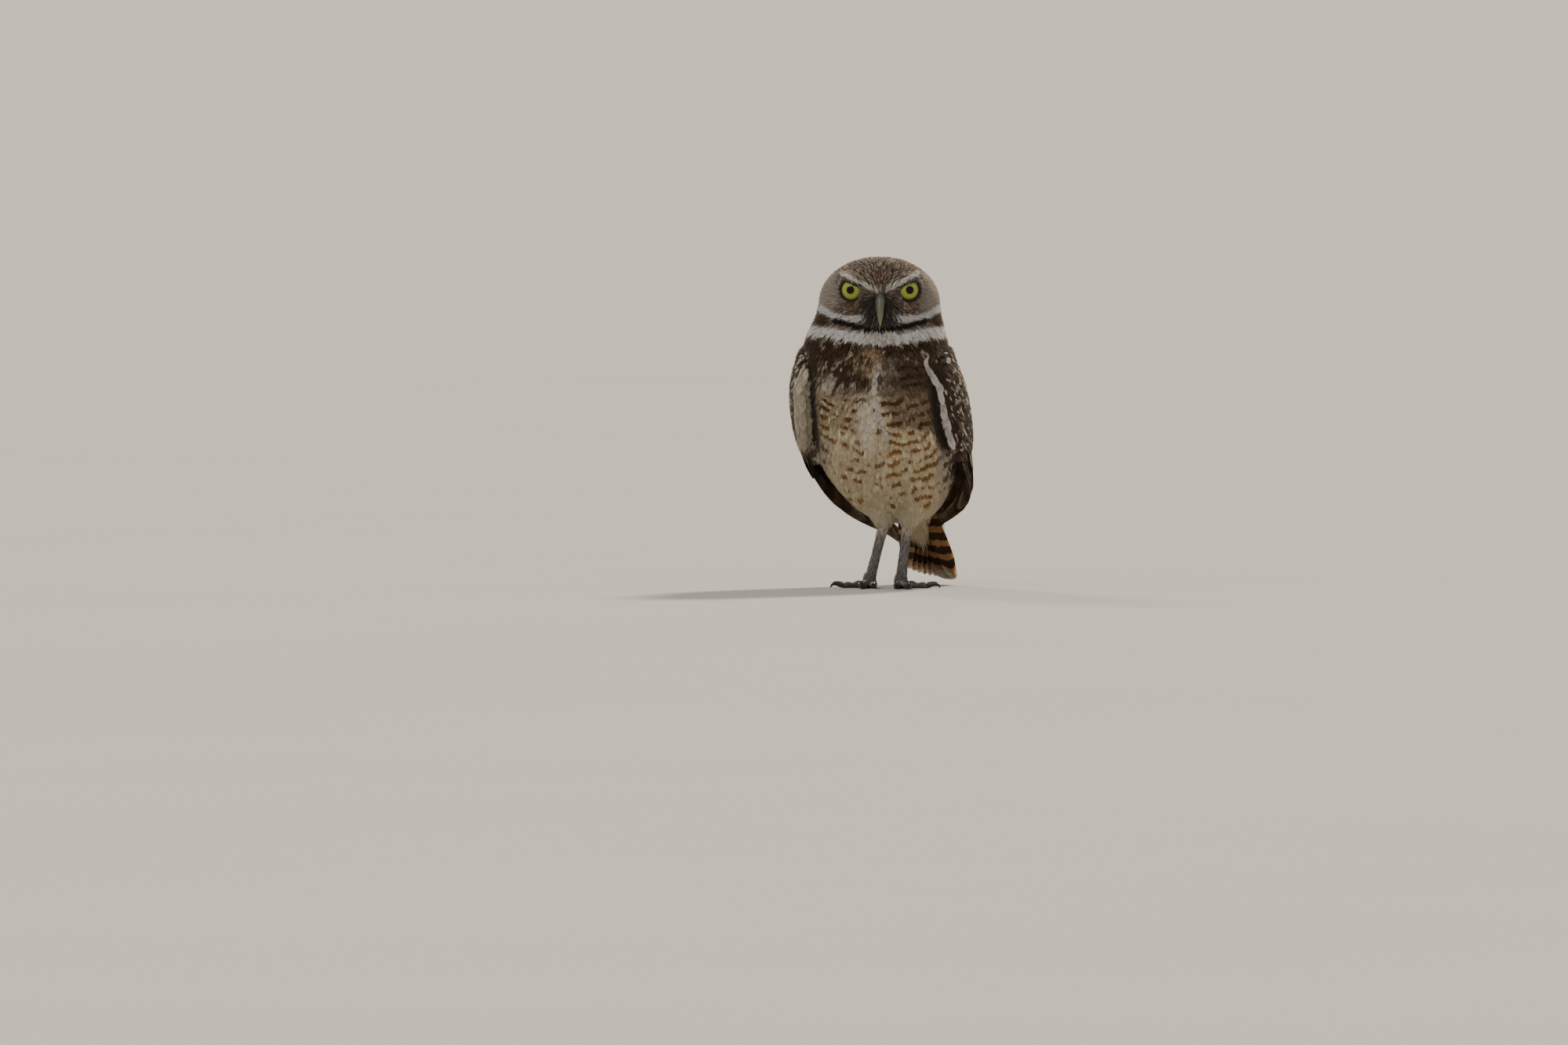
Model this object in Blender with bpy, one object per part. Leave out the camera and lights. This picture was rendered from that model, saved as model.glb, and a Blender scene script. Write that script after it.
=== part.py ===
"""A burrowing owl at life size, standing still on its two feet: one closed solid for each named part.

Sizes are in millimetres, and each mesh is scaled to metres as it is made. The face looks along -Y, the
bird's own left is +X and the floor is z = 0. The trunk is turned a little from the face, as in life.
"""

import bisect
import math
import random
from collections import namedtuple

import bmesh
import bpy
from mathutils import Matrix, Quaternion, Vector

MM = 0.001
GAP = 0.35  # clear space that touching parts keep

# The trunk is a stack of rounded sections from the vent to the top of the neck
Section = namedtuple("Section", "z centre_x centre_y half_width front back")
TRUNK = (
    Section(39, 13.5, 26.0, 8.0, 7.0, 8.0),
    Section(43, 12.0, 23.5, 17.0, 14.0, 15.0),
    Section(50, 10.2, 19.0, 26.5, 21.5, 21.5),
    Section(60, 8.3, 13.0, 34.5, 29.5, 27.5),
    Section(72, 6.0, 9.0, 41.5, 36.5, 32.0),
    Section(86, 2.6, 5.5, 46.0, 41.5, 35.0),
    Section(102, 0.3, 2.5, 48.0, 44.0, 37.0),
    Section(120, -2.0, 0.5, 48.0, 43.0, 38.0),
    Section(138, -3.6, -1.0, 47.5, 39.5, 37.5),
    Section(150, -3.9, -2.0, 47.0, 36.0, 36.0),
    Section(160, -3.7, -2.0, 45.5, 33.5, 34.5),
    Section(168, -2.9, -2.0, 42.3, 32.0, 33.5),
    Section(174, -2.2, -2.0, 40.0, 31.5, 33.0),
    Section(182, -1.7, -2.0, 38.4, 31.0, 33.0),
)
CROWN_Z = 211.5
BROAD_Z = TRUNK[-1].z  # the head is broadest here and domed above
# Below the broad part of the back the wings lie on this wider bed, which runs on over the tail
WING_BED_LOW = (
    Section(12, 18.5, 47.0, 18.0, 12.0, 17.0),
    Section(23, 16.5, 40.0, 24.0, 14.0, 19.5),
    Section(33, 15.0, 32.0, 30.0, 17.0, 22.5),
    Section(42, 13.5, 24.5, 35.5, 20.0, 27.5),
    Section(50, 12.0, 19.0, 38.5, 22.0, 30.5),
    Section(60, 9.5, 13.5, 42.0, 30.0, 33.5),
    Section(72, 6.0, 9.0, 45.0, 36.5, 35.0),
    Section(86, 2.8, 5.5, 47.0, 41.5, 36.5),
)
WING_BED = WING_BED_LOW + tuple(s for s in TRUNK if s.z > WING_BED_LOW[-1].z)
TRUNK_TURN = math.radians(-12)  # the chest points a little to the bird's right of the face
TURN_STARTS_Z, TURN_ENDS_Z = 172, 146
HEAD_SQUARENESS, TRUNK_SQUARENESS = 2.35, 2.05

# Two slanting planes part the neck from the trunk and the head: height on the axis, rise per mm to the back
NECK_BASE = (155.0, 0.08)
NECK_TOP = (169.0, 0.07)

TRUNK_HEIGHTS = (39, 41, 44, 48, 54, 61, 69, 78, 88, 99, 110, 122, 134, 145, 153, 160)
NECK_HEIGHTS = (148, 153, 158, 163, 168, 173)
HEAD_HEIGHTS = (161, 165, 169, 173, 177, 180.5, 184, 187, 190, 193, 196, 199, 201.8, 204.4, 206.7, 208.7,
                210.2, 211.1)

# Face, measured from the middle of the head
FACE_MIDDLE_X = -1.4
EYE_SPREAD = 17.0
EYE_Z = 190.6
EYE_Y = -21.3
EYE_RADIUS = 9.2
EYE_TURN = math.radians(12)
# A lid hugs the eyeball between two angles from the eye's axis, and droops over it at the top
LID_OPENING, LID_REACH, LID_DROOP, LID_THICKNESS = 41, 74, 6, 1.5
BROW_INNER = Vector((3.5, 191.5))
BROW_OUTER = Vector((24.0, 201.5))
BILL_UPPER = ((-25, 187, 3.7, 3.6), (-34, 184.5, 3.5, 3.7), (-38.6, 179.5, 2.9, 3.2),
              (-40.0, 174.0, 2.0, 2.3), (-39.4, 170.0, 1.1, 1.3), (-38.2, 167.4, 0.3, 0.35))
BILL_LOWER = ((-25, 178.5, 3.0, 2.8), (-31.5, 178.0, 3.1, 3.2), (-35.6, 175.0, 2.6, 2.8),
              (-37.6, 171.6, 1.5, 1.6), (-38.2, 169.6, 0.5, 0.5))
NOSTRIL_RADIUS = 0.75
NOSTRIL_SPREAD, NOSTRIL_Y, NOSTRIL_Z = 3.1, -36.6, 184.4
TRUNK_SIDES, HEAD_SIDES = 32, 48
FACE_CROWDING = 0.55  # how far the head's corners are drawn towards the face

# Wings: where the front and the back edge of the folded wing run round the body, as angles by height
WING_TOP_Z, PAD_END_Z = 153.0, 80.0
LEAD_EDGE = ((23, 74), (33, 58), (37, 46), (42, 31), (50, 17), (60, 3), (72, -10), (86, -22), (100, -31),
             (125, -35), (153, -31))
TRAIL_EDGE = ((23, 88), (40, 86), (56, 87), (72, 88), (85, 88), (95, 81), (110, 67), (130, 50), (153, 33))
PAD_DEPTH = ((78, 3.4), (90, 8.0), (105, 9.0), (125, 8.2), (138, 5.6), (147, 2.4), (153, 0.9))
# A wing's own pose: how far its front edge lies back, how thick it is, and how far its tip is raised and
# stands off
WingPose = namedtuple("WingPose", "side lead_shift edge_depth tip_rise tip_stand_off")
WINGS = {"left": WingPose(1, 7.0, 3.0, 8.0, 4.4), "right": WingPose(-1, 0.0, 6.5, 0.0, 3.0)}
# Rows of feathers on a wing, from the front edge back. Heights, places across and widths are those of the
# first feather and of the last
Tier = namedtuple("Tier", "count root_z root_across tip_z tip_across tip_lift width stations blunt")
PRIMARIES = Tier(10, (104, 92), (0.05, 0.36), None, (0.18, 0.86), (1.6, 3.6), (10, 13), 5, 0.35)
SECONDARIES = Tier(9, (101, 112), (0.30, 0.76), (54, 55), (0.27, 0.90), (4.4, 5.2), (13, 15), 4, 0.3)
GREATER_COVERTS = Tier(9, (106, 114), (0.20, 0.76), (79, 83), (0.17, 0.93), (6.6, 6.0), (12, 14), 3, 0.45)
PRIMARY_COVERTS = Tier(5, (108, 104), (0.06, 0.20), (75, 80), (0.07, 0.27), (4.0, 4.4), (9, 10), 3, 0.45)
ALULA = Tier(3, (124, 122), (0.07, 0.13), (91, 104), (0.04, 0.14), (5.2, 5.6), (8, 8), 3, 0.45)
TIERS = (PRIMARIES, SECONDARIES, GREATER_COVERTS, PRIMARY_COVERTS, ALULA)
PRIMARY_TIPS = (44, 35, 29, 26, 29.5, 35, 41, 47, 52, 56)
TIP_VARIETY = 0.6  # how far a seeded draw moves the tip of a feather up or down
VANE_TILT = 0.15  # rise of a vane's front edge over its back edge, so that neighbours overlap
ROOT_SINK = 1.5  # how deep a feather starts in the pad that it grows from
VANE_THICKNESS = 0.7
SHAFT_RISE = 0.25  # how far the shaft stands out of its vane

# Tail: root, middle of the tip, and the way across it to the bird's left
TAIL_ROOT = Vector((22.0, 29.0, 60.0))
TAIL_TIP = Vector((34.5, 65.0, 6.5))
TAIL_ACROSS = Vector((0.84, -0.46, -0.28))
TAIL_PAIRS = 6
TAIL_FAN = math.radians(10)
TAIL_ROOT_SPREAD = 7.0  # the outermost feather starts this far from the middle line
TAIL_VANE_TILT, TAIL_VANE_BLUNT = 0.10, 0.22
RECTRIX_WIDTH = 13.0
COVERT_WIDTH = 11.0
TAIL_ROOT_SUNK = 4  # how far inside the stump its feathers start
# The fleshy stump of the tail: distance along it and half width
TAIL_STUMP = ((-14, 9), (-8, 11.5), (0, 12.5), (8, 12), (16, 10), (22, 6))
STUMP_FLATNESS = 0.42
RECTRIX_LIFT, RECTRIX_BEND = 1.6, 1.2
# Under and upper tail coverts: count, lift, share of the tail's length, share of its spread
TAIL_COVERTS = ((5, -6.2, 0.72, 0.62), (5, 3.6, 0.46, 1.0))

# Legs, from the bird's left to its right
LegPose = namedtuple("LegPose", "side hip heel ankle_top foot")
LEFT_LEG = LegPose(1, Vector((20, 6, 62)), Vector((17, 9.5, 39)), Vector((16.5, 10, 39)), Vector((12, 0, 0)))
RIGHT_LEG = LegPose(-1, Vector((-3, 10, 62)), Vector((1.5, 12.5, 39)), Vector((2, 13, 39)),
                    Vector((-8, 6, 0)))
LEGS = {"left": LEFT_LEG, "right": RIGHT_LEG}
SOLE_TOP_Z = 8.2
# Share of the length, half width and half depth
THIGH_SHAPE = ((0, 11, 13), (0.3, 10.5, 12.5), (0.55, 9, 11), (0.75, 7.2, 8.8), (0.9, 5.6, 6.6), (1, 4.4, 5))
TARSUS_SHAPE = ((0, 3.4, 3.7), (0.12, 3.2, 3.4), (0.35, 2.8, 2.9), (0.6, 2.7, 2.7), (0.85, 3.2, 3.1),
                (1, 3.9, 3.6))
# Height and radius of the pad where the toes meet
HUB_SHAPE = ((0, 3.2), (1.2, 4.4), (3.2, 4.9), (5.4, 4.6), (SOLE_TOP_Z - GAP, 3.7))
# Toes: turn outwards from straight ahead, length, and radius at the root
TOES = {"inner": (-9, 19, 2.7), "middle": (12, 24, 2.8), "outer": (62, 20, 2.6), "hind": (172, 13, 2.5)}
CLAW_REACH = 7.8
CLAW_BEND = 1.35


def colour(red, green, blue):
    return (red, green, blue, 1.0)


FINISHES = {
    "plumage_brown": (colour(0.20, 0.125, 0.07), 0.75),
    "plumage_pale": (colour(0.62, 0.52, 0.38), 0.75),
    "plumage_face": (colour(0.30, 0.22, 0.15), 0.75),
    "horn": (colour(0.42, 0.42, 0.24), 0.35),
    "eye": (colour(0.75, 0.68, 0.08), 0.08),
    "leg_skin": (colour(0.22, 0.19, 0.16), 0.6),
    "claw": (colour(0.02, 0.018, 0.015), 0.3),
}


def hermite(knots, values, at):
    """A smooth curve through the values, level past both ends."""
    if at <= knots[0]:
        return values[0]
    if at >= knots[-1]:
        return values[-1]
    i = bisect.bisect_right(knots, at) - 1

    def slope(k):
        before, after = max(k - 1, 0), min(k + 1, len(knots) - 1)
        return (values[after] - values[before]) / (knots[after] - knots[before])

    width = knots[i + 1] - knots[i]
    t = (at - knots[i]) / width
    return (
        (2 * t**3 - 3 * t**2 + 1) * values[i]
        + (t**3 - 2 * t**2 + t) * width * slope(i)
        + (3 * t**2 - 2 * t**3) * values[i + 1]
        + (t**3 - t**2) * width * slope(i + 1)
    )


def from_to(ends, t):
    return ends[0] + (ends[1] - ends[0]) * t


def by_height(pairs, z):
    return hermite([p[0] for p in pairs], [p[1] for p in pairs], z)


def smooth(low, high, value):
    t = min(max((value - low) / (high - low), 0.0), 1.0)
    return t * t * (3 - 2 * t)


def section_at(sections, z):
    """The section of the bird at this height. Above its broadest part the head is a dome."""
    knots = [s.z for s in sections]
    fields = [hermite(knots, [s[k] for s in sections], min(z, BROAD_Z)) for k in range(1, 6)]
    if z > BROAD_Z:
        dome = math.sqrt(max(1 - ((z - BROAD_Z) / (CROWN_Z - BROAD_Z)) ** 2, 0.0))
        fields[2:] = [size * dome for size in fields[2:]]
    return Section(z, *fields)


def face_relief(across, z):
    """How far the face stands ahead of the plain head, at a distance from its middle and a height."""
    across = abs(across)
    spot = Vector((across, z))
    line = BROW_OUTER - BROW_INNER
    along = min(max((spot - BROW_INNER).dot(line) / line.length_squared, 0.0), 1.0)
    brow = 3.0 * math.exp(-(((spot - BROW_INNER - along * line).length / 3.2) ** 2))
    dish = -2.4 * math.exp(-(((across - EYE_SPREAD) / 9.0) ** 2) - ((z - EYE_Z + 1) / 8.0) ** 2)
    bill_root = 3.2 * math.exp(-((across / 4.5) ** 2) - ((z - 183) / 6.0) ** 2)
    cheek = 1.8 * math.exp(-(((across - 20) / 9.0) ** 2) - ((z - 174) / 4.5) ** 2)
    chin = -1.6 * math.exp(-((across / 14) ** 2) - ((z - 166) / 2.5) ** 2)
    return brow + dish + bill_root + cheek + chin


def skin_point(sections, angle, z):
    """A point of the skin. The angle is 0 at the bird's left, and grows towards its back."""
    section = section_at(sections, z)
    turn = TRUNK_TURN * (1 - smooth(TURN_ENDS_Z, TURN_STARTS_Z, z))
    power = 2 / (TRUNK_SQUARENESS + (HEAD_SQUARENESS - TRUNK_SQUARENESS) * smooth(155, 178, z))
    cosine, sine = math.cos(angle), math.sin(angle)
    x = section.half_width * math.copysign(abs(cosine) ** power, cosine)
    y = (section.back if sine > 0 else section.front) * math.copysign(abs(sine) ** power, sine)
    if sine < 0 and z > NECK_BASE[0]:
        across = section.centre_x + x - FACE_MIDDLE_X
        y -= face_relief(across, z) * smooth(0.0, 0.55, -sine) * smooth(162, 170, z)
    return Vector((
        section.centre_x + x * math.cos(turn) - y * math.sin(turn),
        section.centre_y + x * math.sin(turn) + y * math.cos(turn),
        z,
    ))


def skin_normal(sections, angle, z):
    step_angle, step_z = 0.02, 0.4
    round_body = skin_point(sections, angle + step_angle, z) - skin_point(sections, angle - step_angle, z)
    upwards = skin_point(sections, angle, z + step_z) - skin_point(sections, angle, z - step_z)
    return round_body.cross(upwards).normalized()


def lifted_point(sections, angle, z, lift):
    return skin_point(sections, angle, z) + lift * skin_normal(sections, angle, z)


def new_object(name, bm, finish):
    """Makes a node from a mesh in millimetres."""
    bmesh.ops.triangulate(bm, faces=bm.faces)
    bmesh.ops.recalc_face_normals(bm, faces=bm.faces)
    bmesh.ops.scale(bm, vec=(MM, MM, MM), verts=bm.verts)
    mesh = bpy.data.meshes.new(name)
    bm.to_mesh(mesh)
    bm.free()
    if finish:
        mesh.materials.append(bpy.data.materials[finish])
    body = bpy.data.objects.new(name, mesh)
    bpy.context.scene.collection.objects.link(body)
    return body


def loft(rings, close_start=True, close_end=True):
    """A closed mesh through rings of the same count. A ring of one point is a tip."""
    bm = bmesh.new()
    made = [[bm.verts.new(p) for p in ring] for ring in rings]
    for one, two in zip(made, made[1:]):
        count = max(len(one), len(two))
        for i in range(count):
            j = (i + 1) % count
            corners = [one[i % len(one)], one[j % len(one)], two[j % len(two)], two[i % len(two)]]
            bm.faces.new(list(dict.fromkeys(corners)))
    for ring, wanted in ((made[0], close_start), (made[-1], close_end)):
        if wanted and len(ring) > 2:
            bm.faces.new(ring)
    return bm


def boolean(body, others, operation, solver="EXACT"):
    """Joins or cuts a node with other closed meshes, which are then removed."""
    group = bpy.data.collections.new(body.name + "_tools")
    bpy.context.scene.collection.children.link(group)
    for other in others:
        bpy.context.scene.collection.objects.unlink(other)
        group.objects.link(other)
    modifier = body.modifiers.new(operation.lower(), "BOOLEAN")
    modifier.operand_type = "COLLECTION"
    modifier.collection = group
    modifier.operation = operation
    modifier.solver = solver
    graph = bpy.context.evaluated_depsgraph_get()
    mesh = bpy.data.meshes.new_from_object(body.evaluated_get(graph))
    body.modifiers.clear()
    mesh.name = body.data.name
    body.data = mesh
    for other in others:
        bpy.data.objects.remove(other)
    bpy.data.collections.remove(group)
    keep_largest(body)


def keep_largest(body):
    """Keeps the largest closed surface of a node and drops loose scraps and sealed hollows."""
    bm = bmesh.new()
    bm.from_mesh(body.data)
    unseen, shells = set(bm.verts), []
    while unseen:
        shell, edge_of_search = set(), [unseen.pop()]
        while edge_of_search:
            vertex = edge_of_search.pop()
            shell.add(vertex)
            for edge in vertex.link_edges:
                other = edge.other_vert(vertex)
                if other in unseen:
                    unseen.remove(other)
                    edge_of_search.append(other)
        shells.append(shell)
    largest = max(shells, key=len)
    bmesh.ops.delete(bm, geom=[v for v in bm.verts if v not in largest], context="VERTS")
    bm.to_mesh(body.data)
    bm.free()


def body_rings(sections, heights, angles, lift):
    return [[lifted_point(sections, a, z, lift) for a in angles] for z in heights]


def even_angles(count):
    return [2 * math.pi * i / count for i in range(count)]


def face_angles(count):
    """Angles round the head, set closer together across the face."""
    return [a - FACE_CROWDING * math.cos(a) for a in even_angles(count)]


def bird_form(name, finish, heights, angles, lift=0.0, crown=False):
    rings = body_rings(TRUNK, heights, angles, lift)
    lowest = section_at(TRUNK, heights[0])
    rings.insert(0, [Vector((lowest.centre_x, lowest.centre_y, heights[0] - 1.5 - lift))])
    if crown:
        top = section_at(TRUNK, CROWN_Z)
        rings.append([Vector((top.centre_x, top.centre_y, CROWN_Z + lift))])
    return new_object(name, loft(rings), finish)


def cut_by_plane(body, plane, keep_above):
    """Cuts a node along a slanting plane, moved half a gap to the side that is kept, and closes it."""
    height, rise = plane
    height += GAP / 2 if keep_above else -GAP / 2
    normal = Vector((0, -rise, 1)).normalized()
    bm = bmesh.new()
    bm.from_mesh(body.data)
    bmesh.ops.bisect_plane(
        bm, geom=bm.verts[:] + bm.edges[:] + bm.faces[:], plane_co=Vector((0, 0, height * MM)),
        plane_no=normal, dist=1e-7, clear_outer=not keep_above, clear_inner=keep_above,
    )
    bmesh.ops.holes_fill(bm, edges=[e for e in bm.edges if e.is_boundary])
    bmesh.ops.triangulate(bm, faces=bm.faces)
    bmesh.ops.recalc_face_normals(bm, faces=bm.faces)
    bm.to_mesh(body.data)
    bm.free()


def tube(path, radii, sides, floor=None, start=None, end=None):
    """Rings square to a path, each with its half width and half height. Its ends may face a given way."""
    rings = []
    for i, point in enumerate(path):
        ahead = path[min(i + 1, len(path) - 1)] - path[max(i - 1, 0)]
        if i == 0 and start:
            ahead = start.copy()
        if i == len(path) - 1 and end:
            ahead = end.copy()
        ahead.normalize()
        side = ahead.cross(Vector((0, 0, 1)))
        if side.length < 0.2:
            side = Vector((1, 0, 0))
        side.normalize()
        up = side.cross(ahead).normalized()
        wide, high = radii[i]
        ring = [point + side * wide * math.cos(a) + up * high * math.sin(a) for a in even_angles(sides)]
        if floor is not None:
            ring = [Vector((p.x, p.y, max(p.z, floor))) for p in ring]
        rings.append(ring)
    return rings


def trunk_with_gap():
    """The lower trunk swollen by the gap, to cut what grows from it."""
    return bird_form("trunk_gap", None, TRUNK_HEIGHTS[:11], even_angles(TRUNK_SIDES), lift=GAP)


def make_trunk():
    trunk = bird_form("torso", "plumage_pale", TRUNK_HEIGHTS, even_angles(TRUNK_SIDES))
    cut_by_plane(trunk, NECK_BASE, keep_above=False)


def make_neck():
    neck = bird_form("neck", "plumage_pale", NECK_HEIGHTS, even_angles(TRUNK_SIDES))
    cut_by_plane(neck, NECK_BASE, keep_above=True)
    cut_by_plane(neck, NECK_TOP, keep_above=False)


def eye_centre(side):
    return Vector((FACE_MIDDLE_X + side * EYE_SPREAD, EYE_Y, EYE_Z))


def eye_axis(side):
    return Vector((side * math.sin(EYE_TURN), -math.cos(EYE_TURN), 0))


def ball(name, centre, radius, finish, segments=16, rings=9):
    bm = bmesh.new()
    bmesh.ops.create_uvsphere(bm, u_segments=segments, v_segments=rings, radius=radius)
    bmesh.ops.rotate(bm, verts=bm.verts, matrix=Matrix.Rotation(math.pi / 2, 3, "X"))
    bmesh.ops.translate(bm, vec=centre, verts=bm.verts)
    return new_object(name, bm, finish)


def lid_band(side):
    """Both lids of an eye: a band round the front of the eyeball, which droops towards the bill."""
    axis = eye_axis(side)
    across = Vector((-axis.y, axis.x, 0)).normalized() * side
    rings = []
    for a in even_angles(18):
        out = across * math.cos(a) + Vector((0, 0, 1)) * math.sin(a)
        opening = LID_OPENING - LID_DROOP * max(math.sin(a - 0.5), 0)
        section = ((opening, 0.5), (opening + 3, 1.0), (opening + 14, 1.1), (LID_REACH, 0.5), (LID_REACH, -1),
                   (opening, -1))
        ring = []
        for polar, height in section:
            way = axis * math.cos(math.radians(polar)) + out * math.sin(math.radians(polar))
            ring.append(eye_centre(side) + way * (EYE_RADIUS + GAP + LID_THICKNESS * height))
        rings.append(ring)
    bm = loft(rings + rings[:1], close_start=False, close_end=False)
    bmesh.ops.remove_doubles(bm, verts=bm.verts, dist=1e-4)
    return new_object("lids", bm, None)


def make_head():
    head = bird_form("head", "plumage_face", HEAD_HEIGHTS, face_angles(HEAD_SIDES), crown=True)
    cut_by_plane(head, NECK_TOP, keep_above=True)
    boolean(head, [lid_band(1), lid_band(-1)], "UNION")
    sockets = [ball("socket", eye_centre(side), EYE_RADIUS + GAP, None) for side in (1, -1)]
    boolean(head, sockets, "DIFFERENCE")
    for side, word in ((1, "left"), (-1, "right")):
        ball("eye_" + word, eye_centre(side), EYE_RADIUS, "eye")


def head_with_gap():
    return bird_form("head_gap", None, HEAD_HEIGHTS, face_angles(HEAD_SIDES), lift=GAP, crown=True)


def bill_half(name, stations, finish, extra=0.0):
    path = [Vector((FACE_MIDDLE_X, y, z)) for y, z, _, _ in stations]
    rings = []
    for i, point in enumerate(path):
        ahead = (path[min(i + 1, len(path) - 1)] - path[max(i - 1, 0)]).normalized()
        up = Vector((1, 0, 0)).cross(ahead).normalized()
        wide, high = stations[i][2] + extra, stations[i][3] + extra
        rings.append([point + Vector((1, 0, 0)) * wide * math.cos(a) + up * high * math.sin(a)
                      for a in even_angles(12)])
    rings.append([path[-1] + (path[-1] - path[-2]).normalized() * (0.5 + extra)])
    return new_object(name, loft(rings), finish)


def make_bill():
    """The two halves of the bill stop at the face, and the gap between them is the line of the mouth."""
    upper = bill_half("bill_upper", BILL_UPPER, "horn")
    nostrils = []
    for side in (1, -1):
        place = Vector((FACE_MIDDLE_X + side * NOSTRIL_SPREAD, NOSTRIL_Y, NOSTRIL_Z))
        nostrils.append(ball("nostril", place, NOSTRIL_RADIUS, None, 8, 6))
    boolean(upper, [head_with_gap()] + nostrils, "DIFFERENCE")
    lower = bill_half("bill_lower", BILL_LOWER, "horn")
    boolean(lower, [head_with_gap(), bill_half("upper_gap", BILL_UPPER, None, extra=GAP)], "DIFFERENCE")


def pad_top(across):
    """The top of the wing is an arch with round corners."""
    return WING_TOP_Z - 10 * abs(2 * across - 1) ** 2.5


class Wing:
    """A folded wing laid on its bed. Across 0 is its front edge, and 1 its back edge."""

    def __init__(self, pose):
        self.pose = pose

    def angle(self, z, across):
        lead, trail = by_height(LEAD_EDGE, z), by_height(TRAIL_EDGE, z)
        lead += self.pose.lead_shift * smooth(75, 90, z)
        return math.radians(lead + (trail - lead) * across)

    def point(self, z, across, lift):
        """A point of the wing. A wing on the bird's right is the left one with its angles turned round."""
        low = 1 - smooth(30, 100, z)
        rise = self.pose.tip_rise * low * (1 - smooth(0.1, 0.9, across))
        stand_off = self.pose.tip_stand_off * low * (1 - smooth(0.2, 1.0, across))
        angle = self.angle(z, across)
        if self.pose.side < 0:
            angle = math.pi - angle
        return lifted_point(WING_BED, angle, z + rise, lift + stand_off)

    def frame(self, z, across, lift, heading):
        """A place on the wing, with unit vectors to the back edge of a feather and out of the wing."""
        place = self.point(z, across, lift)
        ahead = heading.normalized()
        out = self.point(z, across, lift + 1) - place
        out = (out - ahead * out.dot(ahead)).normalized()
        return place, out.cross(ahead) * self.pose.side, out

    def pad_lift(self, z, across):
        """How far the arm and its small coverts stand above the bed."""
        top = pad_top(across)
        edge = self.pose.edge_depth * smooth(PAD_END_Z - 4, PAD_END_Z + 14, z) * smooth(top, top - 18, z)
        swell = math.sin(math.pi * min(across * 0.86 + 0.14, 1.0)) ** 0.75
        full = by_height(PAD_DEPTH, z) - PAD_DEPTH[-1][1]
        return GAP * 2 + PAD_DEPTH[-1][1] + max(full * swell, edge * (1 - smooth(0.0, 0.45, across)))

    def feather(self, root, tip, width, stations, blunt):
        """One vane, from a place (height, across, lift) on the wing to another."""
        line = []
        for i in range(stations + 1):
            t = i / stations
            line.append(tuple(root[k] + (tip[k] - root[k]) * t for k in range(3)))
        places = [self.point(*spot) for spot in line]
        frames = []
        for i, spot in enumerate(line):
            heading = places[min(i + 1, stations)] - places[max(i - 1, 0)]
            frames.append(self.frame(*spot, heading))
        return vane(frames, width, VANE_THICKNESS, VANE_TILT, blunt)


def vane_width(t, blunt):
    """The share of a feather's full width at a share of its length: narrow root, full blade, round tip."""
    root = 0.45 + 0.55 * smooth(0.0, 0.35, t)
    tip = math.sqrt(max(1 - max((t - (1 - blunt)) / blunt, 0.0) ** 2.4, 0.0))
    return root * max(tip, 0.16)


def vane(frames, width, thick, tilt, blunt):
    """A closed blade with a raised shaft, one edge lower than the other so that neighbours overlap."""
    last = len(frames) - 1
    rings = []
    for i, (place, sideways, out) in enumerate(frames):
        half = width / 2 * vane_width(i / last, blunt)
        drop = tilt * half
        body = thick / 2 * (1.0 if i < last else 0.7)
        camber = 0.03 * half * half / max(width / 2, 1)
        rings.append([
            place - sideways * half + out * (drop - camber + body),
            place + out * (body + SHAFT_RISE),
            place + sideways * half + out * (-drop - camber + body),
            place + sideways * half + out * (-drop - camber - body),
            place - sideways * half + out * (drop - camber - body),
        ])
    return new_object("vane", loft(rings), None)


def wing_pad(name, wing):
    """The arm under its small coverts: a rounded shell that fits the flank, with an arched top."""
    rows, columns = 11, 9
    bm = bmesh.new()
    outer, inner = [], []
    for i in range(rows + 1):
        outer_row, inner_row = [], []
        for j in range(columns + 1):
            across = j / columns
            top = pad_top(across)
            z = from_to((top, PAD_END_Z + 10 * across**4), (i / rows) ** 0.9)
            outer_row.append(bm.verts.new(wing.point(z, across, wing.pad_lift(z, across))))
            inner_row.append(bm.verts.new(wing.point(z, across, GAP * 2)))
        outer.append(outer_row)
        inner.append(inner_row)
    for i in range(rows):
        for j in range(columns):
            bm.faces.new((outer[i][j], outer[i][j + 1], outer[i + 1][j + 1], outer[i + 1][j]))
            bm.faces.new((inner[i][j], inner[i + 1][j], inner[i + 1][j + 1], inner[i][j + 1]))
    rim = [(i, 0) for i in range(rows)] + [(rows, j) for j in range(columns)]
    rim += [(i, columns) for i in range(rows, 0, -1)] + [(0, j) for j in range(columns, 0, -1)]
    for (a, b), (c, d) in zip(rim, rim[1:] + rim[:1]):
        bm.faces.new((outer[a][b], outer[c][d], inner[c][d], inner[a][b]))
    return new_object(name, bm, "plumage_brown")


def make_wing(word, pose):
    wing = Wing(pose)
    body = wing_pad("wing_" + word, wing)
    draw = random.Random(pose.side)
    vanes = []
    for tier in TIERS:
        for k in range(tier.count):
            t = k / (tier.count - 1)
            root_z, root_across = from_to(tier.root_z, t), from_to(tier.root_across, t)
            root_lift = max(wing.pad_lift(root_z, root_across) - ROOT_SINK, GAP * 2 + VANE_THICKNESS)
            root = (root_z, root_across, root_lift)
            tip_z = from_to(tier.tip_z, t) if tier.tip_z else PRIMARY_TIPS[k]
            tip_z += TIP_VARIETY * draw.uniform(-1, 1)
            tip = (tip_z, from_to(tier.tip_across, t), from_to(tier.tip_lift, t))
            vanes.append(wing.feather(root, tip, from_to(tier.width, t), tier.stations, tier.blunt))
    boolean(body, vanes, "UNION", solver="MANIFOLD")


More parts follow.
